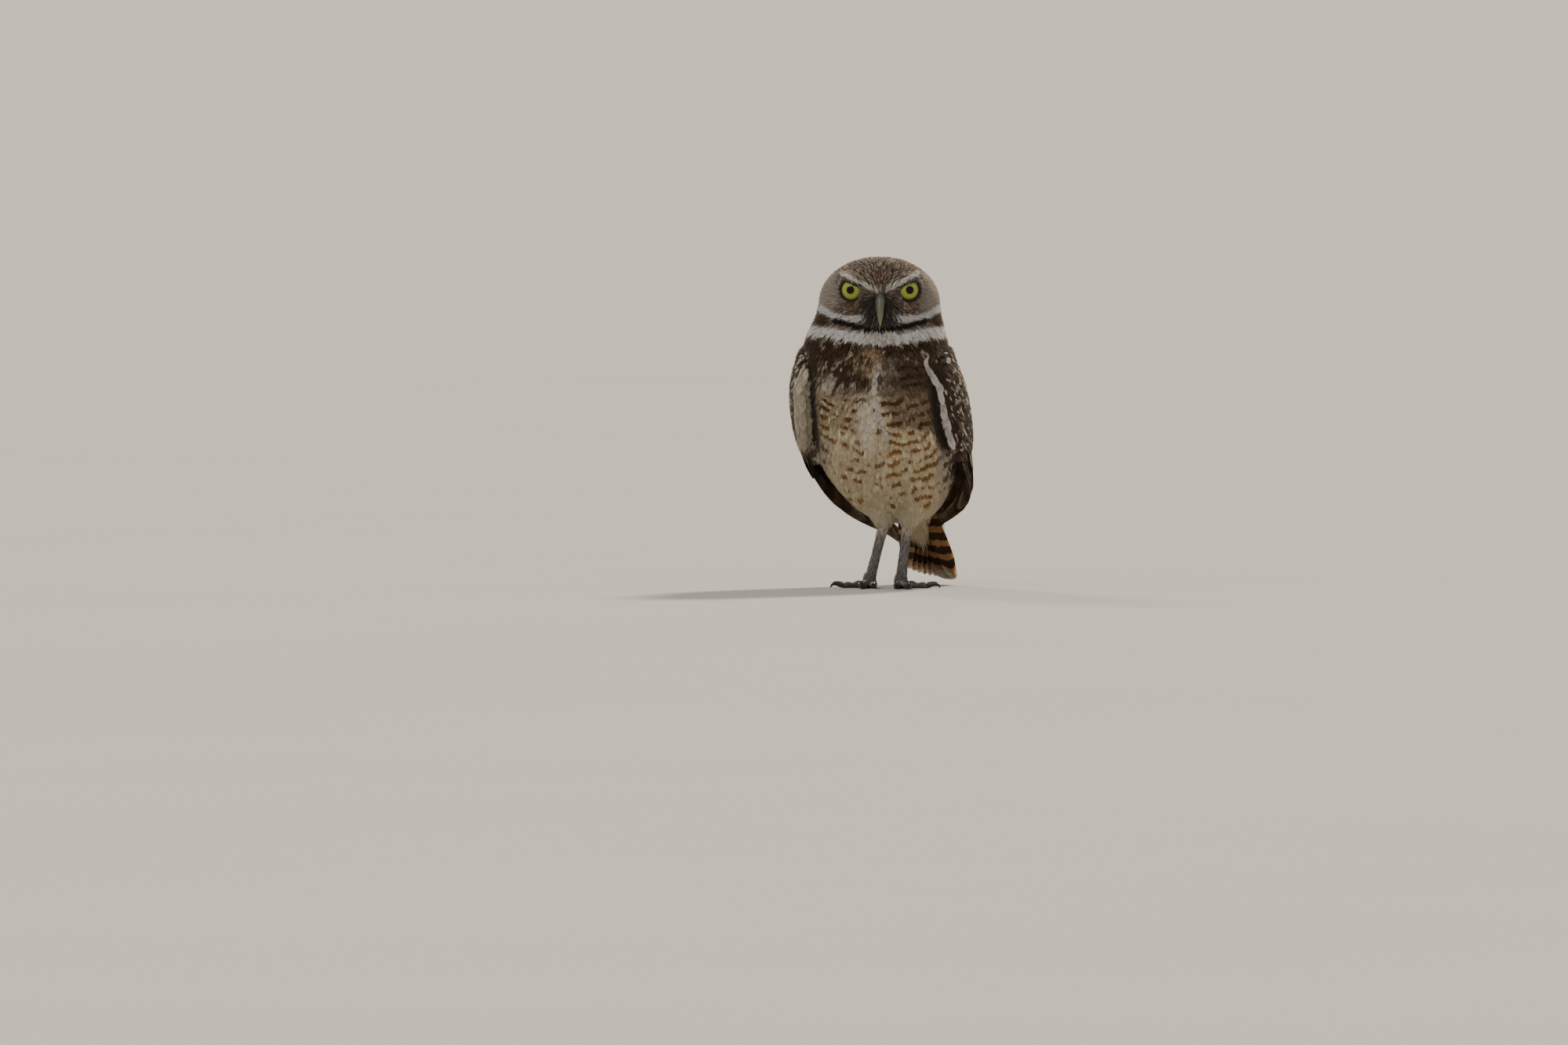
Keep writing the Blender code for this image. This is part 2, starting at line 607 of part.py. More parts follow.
def tail_axes():
    ahead = (TAIL_TIP - TAIL_ROOT).normalized()
    across = (TAIL_ACROSS - ahead * TAIL_ACROSS.dot(ahead)).normalized()
    return ahead, across, across.cross(ahead).normalized()


def tail_vane(spread, root_shift, lift, length, width, stations, bend=0.0):
    """A feather of the tail, fanned out by an angle from its middle line."""
    ahead, across, up = tail_axes()
    heading = ahead * math.cos(spread) + across * math.sin(spread)
    sideways = across * math.cos(spread) - ahead * math.sin(spread)
    if spread < 0:
        sideways = -sideways
    start = TAIL_ROOT + across * root_shift + up * lift
    frames = []
    for i in range(stations + 1):
        t = i / stations
        along = length * t - TAIL_ROOT_SUNK
        frames.append((start + heading * along + up * bend * math.sin(math.pi * t), sideways, up))
    return vane(frames, width, VANE_THICKNESS, TAIL_VANE_TILT, TAIL_VANE_BLUNT)


def make_tail():
    length = (TAIL_TIP - TAIL_ROOT).length
    ahead, across, up = tail_axes()
    rings = []
    for along, half in TAIL_STUMP:
        centre = TAIL_ROOT + ahead * along
        rings.append([centre + half * (across * math.cos(a) + up * STUMP_FLATNESS * math.sin(a))
                      for a in even_angles(12)])
    tail = new_object("tail", loft(rings), "plumage_brown")
    vanes = []
    for pair in range(TAIL_PAIRS):  # the middle pair is on top
        outward = (pair + 0.5) / (TAIL_PAIRS - 0.5)
        for side in (1, -1):
            whole = (length + TAIL_ROOT_SUNK) * (1 - 0.10 * outward**2)
            vanes.append(tail_vane(side * TAIL_FAN * outward, side * TAIL_ROOT_SPREAD * outward,
                                   RECTRIX_LIFT - pair, whole, RECTRIX_WIDTH, 5, RECTRIX_BEND))
    for count, lift, share, spread in TAIL_COVERTS:
        for k in range(count):
            outward = spread * (2 * k / (count - 1) - 1)
            vanes.append(tail_vane(TAIL_FAN * outward, TAIL_ROOT_SPREAD * outward, lift - 0.9 * abs(outward),
                                   length * share * (1 - 0.12 * abs(outward)), COVERT_WIDTH, 3))
    boolean(tail, vanes, "UNION", solver="MANIFOLD")
    boolean(tail, [trunk_with_gap()], "DIFFERENCE", solver="MANIFOLD")


def upright_loft(top, bottom, shape, sides):
    """A limb of level rings between two points."""
    rings = []
    for t, wide, deep in shape:
        centre = top.lerp(bottom, t)
        rings.append([centre + Vector((wide * math.cos(a), deep * math.sin(a), 0))
                      for a in even_angles(sides)])
    return loft(rings)


def make_leg(word, pose):
    thigh = new_object("thigh_" + word, upright_loft(pose.hip, pose.heel, THIGH_SHAPE, 16), "plumage_pale")
    boolean(thigh, [trunk_with_gap()], "DIFFERENCE")
    top, foot = pose.ankle_top - Vector((0, 0, GAP)), pose.foot + Vector((0, 0, SOLE_TOP_Z))
    new_object("tarsus_" + word, upright_loft(top, foot, TARSUS_SHAPE, 12), "leg_skin")
    make_foot(word, pose)


def toe_path(pose, toe):
    turn, length, radius = TOES[toe]
    way = math.radians(turn) * pose.side
    ahead = Vector((math.sin(way), -math.cos(way), 0))
    start = Vector((pose.foot.x, pose.foot.y, 0))
    return start, ahead, length, radius


def make_foot(word, pose):
    centre = Vector((pose.foot.x, pose.foot.y, 0))
    hub_rings = []
    for z, wide in HUB_SHAPE:
        hub_rings.append([centre + Vector((wide * math.cos(a), wide * math.sin(a), z))
                          for a in even_angles(12)])
    foot = new_object("foot_" + word, loft(hub_rings), "leg_skin")
    toes = []
    for toe in TOES:
        start, ahead, length, radius = toe_path(pose, toe)
        path, radii = [], []
        for i in range(8):
            t = i / 7
            pads = 1 + 0.13 * math.cos(2 * math.pi * 2.5 * t)
            size = radius * (1 - 0.32 * t) * pads
            lift = 2.2 * (1 - smooth(0.0, 0.35, t))
            path.append(start + ahead * length * t + Vector((0, 0, size * 0.86 + lift)))
            radii.append((size, size))
        toes.append(new_object("toe", loft(tube(path, radii, 7, floor=0.0, end=ahead)), None))
        make_claw(word, toe, start + ahead * (length + GAP), ahead, radius * 0.62)
    boolean(foot, toes, "UNION")


def make_claw(word, toe, base, ahead, radius):
    """A claw that curves down from the end of its toe until its point touches the floor."""
    path, radii = [], []
    height = radius * 0.98 + 0.6
    for i in range(6):
        t = i / 5
        reach = CLAW_REACH * math.sin(t * CLAW_BEND) / math.sin(CLAW_BEND)
        rise = height + 1.6 * math.sin(t * math.pi * 0.75) - (height + 0.75) * t**2.2
        path.append(base + ahead * reach + Vector((0, 0, rise)))
        size = radius * (1 - t) ** 0.75 + 0.22
        radii.append((size, size * 1.1))
    new_object(f"claw_{toe}_{word}", loft(tube(path, radii, 6, floor=0.0, start=ahead)), "claw")


def make_materials():
    for name, (base, roughness) in FINISHES.items():
        material = bpy.data.materials.new(name)
        material.use_nodes = True
        shader = material.node_tree.nodes["Principled BSDF"]
        shader.inputs["Base Color"].default_value = base
        shader.inputs["Roughness"].default_value = roughness
        material.diffuse_color = base


def stand_on_origin():
    """Parents every part to one empty that puts the middle of the bird's box over the origin."""
    parts = [o for o in bpy.data.objects if o.type == "MESH"]
    corners = [v.co for part in parts for v in part.data.vertices]
    middle_x = (min(c.x for c in corners) + max(c.x for c in corners)) / 2
    middle_y = (min(c.y for c in corners) + max(c.y for c in corners)) / 2
    floor = min(c.z for c in corners)
    owl = bpy.data.objects.new("owl", None)
    bpy.context.scene.collection.objects.link(owl)
    owl.location = (-middle_x, -middle_y, -floor)
    for part in parts:
        part.parent = owl
        part.data.shade_smooth()
        part.data.set_sharp_from_angle(angle=math.radians(40))


def main():
    for old in list(bpy.data.objects):
        bpy.data.objects.remove(old)
    make_materials()
    make_trunk()
    make_neck()
    make_head()
    make_bill()
    for word, pose in WINGS.items():
        make_wing(word, pose)
    make_tail()
    for word, pose in LEGS.items():
        make_leg(word, pose)
    stand_on_origin()


main()
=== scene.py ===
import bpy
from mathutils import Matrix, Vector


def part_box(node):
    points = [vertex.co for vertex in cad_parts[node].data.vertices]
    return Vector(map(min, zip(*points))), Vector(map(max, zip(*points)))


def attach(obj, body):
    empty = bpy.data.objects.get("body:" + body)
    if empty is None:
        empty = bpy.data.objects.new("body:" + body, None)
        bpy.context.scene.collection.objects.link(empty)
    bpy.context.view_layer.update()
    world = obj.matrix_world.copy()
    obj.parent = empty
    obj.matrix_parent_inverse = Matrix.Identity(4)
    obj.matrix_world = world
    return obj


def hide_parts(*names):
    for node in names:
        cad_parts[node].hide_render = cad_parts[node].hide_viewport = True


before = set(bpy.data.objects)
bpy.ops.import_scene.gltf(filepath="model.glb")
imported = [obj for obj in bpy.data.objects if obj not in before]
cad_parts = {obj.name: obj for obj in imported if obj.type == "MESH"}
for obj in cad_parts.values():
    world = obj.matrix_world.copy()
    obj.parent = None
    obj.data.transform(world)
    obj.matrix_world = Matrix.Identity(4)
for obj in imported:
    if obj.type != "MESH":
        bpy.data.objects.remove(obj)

"""The looks of a burrowing owl at life size: skin, feathers, eyes, bill, legs and claws over the solids.

Sizes are in millimetres in the solids' own layout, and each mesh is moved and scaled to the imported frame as
it is made. The face looks along -Y, the bird's own left is +X and the floor is z = 0.
"""

import math

import bpy
import numpy as np
from mathutils import Vector
from mathutils.bvhtree import BVHTree

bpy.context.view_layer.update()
MM = 0.001

# The trunk and head, as in the solids: height, middle, half width, depth to the front and to the back
TRUNK = np.array((
    (39, 13.5, 26.0, 8.0, 7.0, 8.0),
    (43, 12.0, 23.5, 17.0, 14.0, 15.0),
    (50, 10.2, 19.0, 26.5, 21.5, 21.5),
    (60, 8.3, 13.0, 34.5, 29.5, 27.5),
    (72, 6.0, 9.0, 41.5, 36.5, 32.0),
    (86, 2.6, 5.5, 46.0, 41.5, 35.0),
    (102, 0.3, 2.5, 48.0, 44.0, 37.0),
    (120, -2.0, 0.5, 48.0, 43.0, 38.0),
    (138, -3.6, -1.0, 47.5, 39.5, 37.5),
    (150, -3.9, -2.0, 47.0, 36.0, 36.0),
    (160, -3.7, -2.0, 45.5, 33.5, 34.5),
    (168, -2.9, -2.0, 42.3, 32.0, 33.5),
    (174, -2.2, -2.0, 40.0, 31.5, 33.0),
    (182, -1.7, -2.0, 38.4, 31.0, 33.0),
))
CROWN_Z = 211.5
BROAD_Z = TRUNK[-1, 0]
# The wider bed that the folded wings lie on
WING_BED_LOW = np.array((
    (12, 18.5, 47.0, 18.0, 12.0, 17.0),
    (23, 16.5, 40.0, 24.0, 14.0, 19.5),
    (33, 15.0, 32.0, 30.0, 17.0, 22.5),
    (42, 13.5, 24.5, 35.5, 20.0, 27.5),
    (50, 12.0, 19.0, 38.5, 22.0, 30.5),
    (60, 9.5, 13.5, 42.0, 30.0, 33.5),
    (72, 6.0, 9.0, 45.0, 36.5, 35.0),
    (86, 2.8, 5.5, 47.0, 41.5, 36.5),
))
WING_BED = np.concatenate([WING_BED_LOW, TRUNK[TRUNK[:, 0] > WING_BED_LOW[-1, 0]]])
TRUNK_TURN = math.radians(-12)
TURN_STARTS_Z, TURN_ENDS_Z = 172, 146
HEAD_SQUARENESS, TRUNK_SQUARENESS = 2.35, 2.05

# Face
FACE_MIDDLE_X = -1.4
EYE_SPREAD, EYE_Y, EYE_Z = 17.0, -21.3, 190.6
EYE_RADIUS = 9.2
EYE_TURN = math.radians(12)
IRIS_REACH, PUPIL_REACH = 44.5, 15.5
LID_RIM = 5.5
LID_SLANT = math.radians(22)
LID_DROP = 3.4
BROW_SLOPE = math.radians(29)
BROW_INNER, BROW_OUTER = np.array((3.5, 191.5)), np.array((24.0, 201.5))
BILL_ROOT = np.array((FACE_MIDDLE_X, -33.0, 184.0))
BILL_UPPER = ((-25, 187, 3.7, 3.6), (-34, 184.5, 3.5, 3.7), (-38.6, 179.5, 2.9, 3.2),
              (-40.0, 174.0, 2.0, 2.3), (-39.4, 170.0, 1.1, 1.3), (-38.2, 167.4, 0.3, 0.35))
BILL_LOWER = ((-25, 178.5, 3.0, 2.8), (-31.5, 178.0, 3.1, 3.2), (-35.6, 175.0, 2.6, 2.8),
              (-37.6, 171.6, 1.5, 1.6), (-38.2, 169.6, 0.5, 0.5))
NOSTRIL_SPREAD, NOSTRIL_Y, NOSTRIL_Z = 3.1, -36.6, 184.4

# Wings
WING_TOP_Z, PAD_END_Z = 153.0, 80.0
LEAD_EDGE = ((23, 74), (33, 58), (37, 46), (42, 31), (50, 17), (60, 3), (72, -10), (86, -22), (100, -31),
             (125, -35), (153, -31))
TRAIL_EDGE = ((23, 88), (40, 86), (56, 87), (72, 88), (85, 88), (95, 81), (110, 67), (130, 50), (153, 33))
PAD_DEPTH = ((78, 3.4), (90, 8.0), (105, 9.0), (125, 8.2), (138, 5.6), (147, 2.4), (153, 0.9))
PAD_FOOT = 0.7
PRIMARY_TIPS = (44, 35, 29, 26, 29.5, 35, 41, 47, 52, 56)

# Tail
TAIL_ROOT = np.array((22.0, 29.0, 60.0))
TAIL_TIP = np.array((34.5, 65.0, 6.5))
TAIL_ACROSS = np.array((0.84, -0.46, -0.28))
TAIL_PAIRS = 6
TAIL_FAN = math.radians(10)
TAIL_ROOT_SPREAD = 7.0

# Legs: hip, heel, top of the ankle and foot
LEGS = {
    "left": (1, (20, 6, 62), (17, 9.5, 39), (16.5, 10, 39), (12, 0, 0)),
    "right": (-1, (-3, 10, 62), (1.5, 12.5, 39), (2, 13, 39), (-8, 6, 0)),
}
SOLE_TOP_Z = 8.2
TOES = {"inner": (-9, 19, 2.7), "middle": (12, 24, 2.8), "outer": (62, 20, 2.6), "hind": (172, 13, 2.5)}
CLAW_REACH = 7.8
CLAW_BEND = 1.35

# Camera
PHOTO_WIDTH, PHOTO_HEIGHT = 2000, 1333
MM_PER_PIXEL = 0.5
OWL_COLUMN, FLOOR_ROW = 1125, 750
LENS, SENSOR = 400, 36
CAMERA_ELEVATION = math.radians(1.8)

UP = np.array((0.0, 0.0, 1.0))


def unit(v):
    return v / np.maximum(np.linalg.norm(v, axis=-1, keepdims=True), 1e-9)


def dot(a, b):
    return (a * b).sum(-1, keepdims=True)


def flattened(v, normal):
    """A way turned to lie along a surface."""
    return unit(v - normal * dot(v, normal))


def smooth(low, high, value):
    t = np.clip((np.asarray(value, float) - low) / (high - low), 0.0, 1.0)
    return t * t * (3 - 2 * t)


def mix(a, b, t):
    return a + (b - a) * np.asarray(t)


def hermite(knots, values, at):
    """A smooth curve through the values, level past both ends."""
    knots, values = np.asarray(knots, float), np.asarray(values, float)
    at = np.clip(np.asarray(at, float), knots[0], knots[-1])
    i = np.clip(np.searchsorted(knots, at, side="right") - 1, 0, len(knots) - 2)
    before = np.maximum(np.arange(len(knots)) - 1, 0)
    after = np.minimum(np.arange(len(knots)) + 1, len(knots) - 1)
    slopes = (values[after] - values[before]) / (knots[after] - knots[before])
    width = knots[i + 1] - knots[i]
    t = (at - knots[i]) / width
    return (
        (2 * t**3 - 3 * t**2 + 1) * values[i]
        + (t**3 - 2 * t**2 + t) * width * slopes[i]
        + (3 * t**2 - 2 * t**3) * values[i + 1]
        + (t**3 - t**2) * width * slopes[i + 1]
    )


def by_height(pairs, z):
    pairs = np.asarray(pairs, float)
    return hermite(pairs[:, 0], pairs[:, 1], z)


def section_at(sections, z):
    fields = [hermite(sections[:, 0], sections[:, k], np.minimum(z, BROAD_Z)) for k in range(1, 6)]
    rise = np.maximum(np.asarray(z, float) - BROAD_Z, 0) / (CROWN_Z - BROAD_Z)
    dome = np.sqrt(np.maximum(1 - rise**2, 0.0))
    return fields[0], fields[1], fields[2] * dome, fields[3] * dome, fields[4] * dome


def face_relief(across, z):
    """How far the face stands ahead of the plain head, at a distance from its middle and a height."""
    across = np.abs(across)
    line = BROW_OUTER - BROW_INNER
    spot = np.stack([across, z], -1) - BROW_INNER
    along = np.clip((spot @ line) / (line @ line), 0, 1)
    brow = 3.0 * np.exp(-((np.linalg.norm(spot - along[..., None] * line, axis=-1) / 3.2) ** 2))
    dish = -2.4 * np.exp(-(((across - EYE_SPREAD) / 9.0) ** 2) - ((z - EYE_Z + 1) / 8.0) ** 2)
    bill_root = 3.2 * np.exp(-((across / 4.5) ** 2) - ((z - 183) / 6.0) ** 2)
    cheek = 1.8 * np.exp(-(((across - 20) / 9.0) ** 2) - ((z - 174) / 4.5) ** 2)
    chin = -1.6 * np.exp(-((across / 14) ** 2) - ((z - 166) / 2.5) ** 2)
    return brow + dish + bill_root + cheek + chin


def turn_at(z):
    return TRUNK_TURN * (1 - smooth(TURN_ENDS_Z, TURN_STARTS_Z, z))


def power_at(z):
    return 2 / (TRUNK_SQUARENESS + (HEAD_SQUARENESS - TRUNK_SQUARENESS) * smooth(155, 178, z))


def body_points(sections, angle, z):
    """Points of the body's outline. The angle is 0 at the bird's left, and grows towards its back."""
    angle, z = np.broadcast_arrays(np.asarray(angle, float), np.asarray(z, float))
    centre_x, centre_y, half, front, back = section_at(sections, z)
    power = power_at(z)
    cosine, sine = np.cos(angle), np.sin(angle)
    x = half * np.sign(cosine) * np.abs(cosine) ** power
    y = np.where(sine > 0, back, front) * np.sign(sine) * np.abs(sine) ** power
    relief = face_relief(centre_x + x - FACE_MIDDLE_X, z)
    y = y - relief * smooth(0.0, 0.55, -sine) * smooth(162, 170, z)
    turn = turn_at(z)
    return np.stack([
        centre_x + x * np.cos(turn) - y * np.sin(turn),
        centre_y + x * np.sin(turn) + y * np.cos(turn),
        z,
    ], -1)


def lifted(sections, angle, z, lift):
    """Points that stand off the body's outline."""
    angle, z, lift = np.broadcast_arrays(
        np.asarray(angle, float), np.asarray(z, float), np.asarray(lift, float))
    step_angle, step_z = 0.02, 0.4
    z_here = np.minimum(z, CROWN_Z - 0.02)
    round_body = body_points(sections, angle + step_angle, z_here) - body_points(sections, angle - step_angle, z_here)
    upwards = body_points(sections, angle, z_here + step_z) - body_points(sections, angle, z_here - step_z)
    return body_points(sections, angle, z) + lift[..., None] * unit(np.cross(round_body, upwards))


def body_angle(points):
    """The angle round the trunk at which points lie, as body_points reads it."""
    z = points[..., 2]
    centre_x, centre_y, half, front, back = section_at(WING_BED, z)
    turn, power = turn_at(z), power_at(z)
    dx, dy = points[..., 0] - centre_x, points[..., 1] - centre_y
    x = dx * np.cos(turn) + dy * np.sin(turn)
    y = -dx * np.sin(turn) + dy * np.cos(turn)
    deep = np.where(y > 0, back, front)
    cosine = np.sign(x) * (np.abs(x) / np.maximum(half, 1)) ** (1 / power)
    sine = np.sign(y) * (np.abs(y) / np.maximum(deep, 1)) ** (1 / power)
    return np.arctan2(sine, cosine)


def eye_centre(side):
    return np.array((FACE_MIDDLE_X + side * EYE_SPREAD, EYE_Y, EYE_Z))


def eye_axis(side):
    return np.array((side * math.sin(EYE_TURN), -math.cos(EYE_TURN), 0.0))


LEFT_EYE_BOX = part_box("eye_left")
OFFSET = (np.array(LEFT_EYE_BOX[0]) + np.array(LEFT_EYE_BOX[1])) / 2 / MM - eye_centre(1)


class Wing:
    """A folded wing laid on its bed. Across 0 is its front edge, and 1 its back edge."""

    def __init__(self, side, lead_shift, edge_depth, tip_rise, tip_stand_off):
        self.side, self.lead_shift, self.edge_depth = side, lead_shift, edge_depth
        self.tip_rise, self.tip_stand_off = tip_rise, tip_stand_off

    def set_edge(self, panel, pale_from, bend, top_z, columns, width, colour):
        """The pale feathers down its front edge."""
        self.panel = panel  # how far across they reach, by height
        self.pale_from = pale_from  # how far above the bed that edge turns pale
        self.bend = bend  # how far the line of them bends ahead at its top
        self.edge_top_z = top_z
        self.edge_columns, self.edge_width, self.edge_colour = columns, width, colour
        return self

    def panel_width(self, z):
        return by_height(self.panel, z)

    def edges(self, z):
        return by_height(LEAD_EDGE, z) + self.lead_shift * smooth(75, 90, z), by_height(TRAIL_EDGE, z)

    def points(self, z, across, lift):
        lead, trail = self.edges(z)
        low = 1 - smooth(30, 100, z)
        rise = self.tip_rise * low * (1 - smooth(0.1, 0.9, across))
        stand_off = self.tip_stand_off * low * (1 - smooth(0.2, 1.0, across))
        angle = np.radians(lead + (trail - lead) * across)
        if self.side < 0:
            angle = math.pi - angle
        return lifted(WING_BED, angle, z + rise, lift + stand_off)

    def pad_top(self, across):
        return WING_TOP_Z - 10 * np.abs(2 * across - 1) ** 2.5

    def pad_lift(self, z, across):
        """How far the arm under its small coverts stands above the bed."""
        edge = self.edge_depth * smooth(PAD_END_Z - 4, PAD_END_Z + 14, z)
        edge = edge * (1 - smooth(-18, 0, z - self.pad_top(across)))
        swell = np.maximum(np.sin(math.pi * np.clip(across * 0.86 + 0.14, 0.0, 1.0)), 0.0) ** 0.75
        full = by_height(PAD_DEPTH, z) - PAD_DEPTH[-1][1]
        return PAD_FOOT + PAD_DEPTH[-1][1] + np.maximum(full * swell, edge * (1 - smooth(0.0, 0.45, across)))

    def across(self, points):
        """Where points lie between the wing's front edge, 0, and its back edge, 1."""
        angle = body_angle(points)
        if self.side < 0:
            angle = math.pi - angle
            angle = np.where(angle > math.pi, angle - 2 * math.pi, angle)
        lead, trail = self.edges(points[..., 2])
        return (np.degrees(angle) - lead) / (trail - lead)


NO_PANEL = ((80, 0.0), (150, 0.0))
CREAM_PANEL = ((84, 0.06), (94, 0.085), (107, 0.09), (124, 0.06), (138, 0.015), (143, -0.02))
WINGS = {
    "left": Wing(1, 7.0, 3.0, 8.0, 4.0).set_edge(NO_PANEL, 20.0, 0.2, 150.0, (0.0,), 4.1, (0.50, 0.475, 0.44)),
    "right": Wing(-1, 0.0, 6.5, 0.0, 3.0).set_edge(CREAM_PANEL, 0.4, 0.0, 144.0, (1.0, 0.66, 0.33, 0.0), 4.6,
                                                   (0.43, 0.375, 0.285)),
}
EDGE_END_Z, EDGE_LENGTH = 90.0, 11.0
EDGE_BELOW_CORNER = 2.3


# Meshes


def new_piece(name, points, faces, slot=None):
    """Makes a mesh piece from points in millimetres and triangles or quads."""
    points, faces = np.asarray(points, float), np.asarray(faces, int)
    assert np.isfinite(points).all(), name
    mesh = bpy.data.meshes.new(name)
    sides = faces.shape[1]
    mesh.vertices.add(len(points))
    mesh.vertices.foreach_set("co", ((points + OFFSET) * MM).astype(np.float32).ravel())
    mesh.loops.add(faces.size)
    mesh.loops.foreach_set("vertex_index", faces.astype(np.int32).ravel())
    mesh.polygons.add(len(faces))
    mesh.polygons.foreach_set("loop_start", np.arange(0, faces.size, sides, dtype=np.int32))
    mesh.polygons.foreach_set("use_smooth", np.ones(len(faces), bool))
    mesh.update(calc_edges=True)
    piece = bpy.data.objects.new(name, mesh)
    bpy.context.scene.collection.objects.link(piece)
    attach(piece, "root")
    return piece


def add_colours(piece, name, values):
    """Keeps a colour or other three or four numbers for each point of a piece."""
    values = np.asarray(values, float)
    if values.shape[1] == 3:
        values = np.concatenate([values, np.ones((len(values), 1))], 1)
    attribute = piece.data.attributes.new(name, "FLOAT_COLOR", "POINT")
    attribute.data.foreach_set("color", values.astype(np.float32).ravel())


def add_map(piece, name, places):
    """Adds a UV map from a place for each point."""
    layer = piece.data.uv_layers.new(name=name)
    corners = np.empty(len(piece.data.loops), np.int32)
    piece.data.loops.foreach_get("vertex_index", corners)
    layer.data.foreach_set("uv", np.asarray(places, float)[corners].astype(np.float32).ravel())


def tube_faces(count, sides, start=0):
    i, j = np.meshgrid(np.arange(count - 1), np.arange(sides), indexing="ij")
    a = start + i * sides + j
    b = start + i * sides + (j + 1) % sides
    return np.stack([a, b, b + sides, a + sides], -1).reshape(-1, 4)


def closed_tube(rings):
    """Points and triangles of a tube through rings of the same count, closed at both ends."""
    rings = np.asarray(rings, float)
    count, sides = rings.shape[:2]
    points = np.concatenate([rings.reshape(-1, 3), rings[:1].mean(1), rings[-1:].mean(1)])
    quads = tube_faces(count, sides)
    triangles = [quads[:, [0, 1, 2]], quads[:, [0, 2, 3]]]
    ring = np.arange(sides)
    after = (ring + 1) % sides
    last = (count - 1) * sides
    triangles.append(np.stack([after, ring, np.full(sides, count * sides)], -1))
    triangles.append(np.stack([last + ring, last + after, np.full(sides, count * sides + 1)], -1))
    return points, np.concatenate(triangles)


def joined(shells):
    """Several shells as one list of points and one of triangles."""
    points, triangles, start = [], [], 0
    for shell_points, shell_triangles in shells:
        points.append(shell_points)
        triangles.append(shell_triangles + start)
        start += len(shell_points)
    return np.concatenate(points), np.concatenate(triangles)


def rings_along(path, wide, high, sides, first=None, last=None):
    """Rings square to a path, with a half width and a half height at each point."""
    path = np.asarray(path, float)
    ahead = np.gradient(path, axis=0)
    if first is not None:
        ahead[0] = first
    if last is not None:
        ahead[-1] = last
    ahead = unit(ahead)
    sideways = np.cross(ahead, UP)
    steep = np.linalg.norm(sideways, axis=1) < 0.2
    sideways[steep] = (1, 0, 0)
    sideways = unit(sideways)
    up = np.cross(sideways, ahead)
    a = np.linspace(0, 2 * math.pi, sides, endpoint=False)
    return (path[:, None] + sideways[:, None] * (np.cos(a)[None, :, None] * np.asarray(wide)[:, None, None])
            + up[:, None] * (np.sin(a)[None, :, None] * np.asarray(high)[:, None, None]))


def fused(name, shells, voxel, rounds):
    """Fuses overlapping closed shells into one smooth skin."""
    points, triangles = joined(shells)
    piece = new_piece(name, points, triangles)
    remesh = piece.modifiers.new("fuse", "REMESH")
    remesh.mode = "VOXEL"
    remesh.voxel_size = voxel * MM
    relax = piece.modifiers.new("relax", "SMOOTH")
    relax.factor = 0.5
    relax.iterations = rounds
    graph = bpy.context.evaluated_depsgraph_get()
    mesh = bpy.data.meshes.new_from_object(piece.evaluated_get(graph))
    piece.modifiers.clear()
    old = piece.data
    piece.data = mesh
    bpy.data.meshes.remove(old)
    mesh.polygons.foreach_set("use_smooth", np.ones(len(mesh.polygons), bool))
    return piece


def points_of(piece):
    """A piece's points in millimetres, and its normals."""
    mesh = piece.data
    points = np.empty(len(mesh.vertices) * 3, np.float32)
    mesh.vertices.foreach_get("co", points)
    normals = np.empty(len(mesh.vertices) * 3, np.float32)
    mesh.vertex_normals.foreach_get("vector", normals)
    return points.reshape(-1, 3).astype(float) / MM - OFFSET, normals.reshape(-1, 3).astype(float)


class Surface:
    """A skin that feathers can be laid on."""

    def __init__(self, piece):
        self.points, self.normals = points_of(piece)
        piece.data.calc_loop_triangles()
        corners = np.empty(len(piece.data.loop_triangles) * 3, np.int32)
        piece.data.loop_triangles.foreach_get("vertices", corners)
        self.triangles = corners.reshape(-1, 3)
        self.tree = BVHTree.FromPolygons(self.points.tolist(), self.triangles.tolist())

    def nearest(self, spots):
        """The nearest places on the skin and its ways out there."""
        places, rows = np.empty((len(spots), 3)), np.empty(len(spots), int)
        for k, spot in enumerate(spots.tolist()):
            place, _, row, _ = self.tree.find_nearest(spot)
            places[k], rows[k] = place, row
        corners = self.triangles[rows]
        gaps = np.linalg.norm(self.points[corners] - places[:, None], axis=-1)
        share = 1 / np.maximum(gaps, 0.05)
        return places, unit((self.normals[corners] * share[..., None]).sum(1))

    def scattered(self, spacing, inside, rng):
        """Places spread over the skin at about a given spacing, where the test says so."""
        a, b, c = (self.points[self.triangles[:, k]] for k in range(3))
        middle = (a + b + c) / 3
        normal = unit(np.cross(b - a, c - a))
        area = np.linalg.norm(np.cross(b - a, c - a), axis=1) / 2
        wanted = np.where(inside(middle, normal), area / spacing(middle, normal) ** 2, 0)
        count = int(wanted.sum() * 5)
        rows = rng.choice(len(area), count, p=wanted / wanted.sum())
        share = np.sqrt(rng.random((count, 1)))
        other = rng.random((count, 1))
        spots = a[rows] * (1 - share) + b[rows] * share * (1 - other) + c[rows] * share * other
        keep_off = spacing(spots, normal[rows])
        cell = keep_off.max()
        homes = np.floor(spots / cell).astype(int)
        filled, kept = {}, []
        near = [(i, j, k) for i in (-1, 0, 1) for j in (-1, 0, 1) for k in (-1, 0, 1)]
        for n, (home, spot, gap) in enumerate(zip(homes.tolist(), spots.tolist(), (keep_off**2).tolist())):
            clear = True
            for i, j, k in near:
                for other in filled.get((home[0] + i, home[1] + j, home[2] + k), ()):
                    if (other[0] - spot[0])**2 + (other[1] - spot[1])**2 + (other[2] - spot[2])**2 < gap:
                        clear = False
                        break
                if not clear:
                    break
            if clear:
                filled.setdefault(tuple(home), []).append(spot)
                kept.append(n)
        return spots[kept]


# The blade of a feather

CORE_END = 0.93


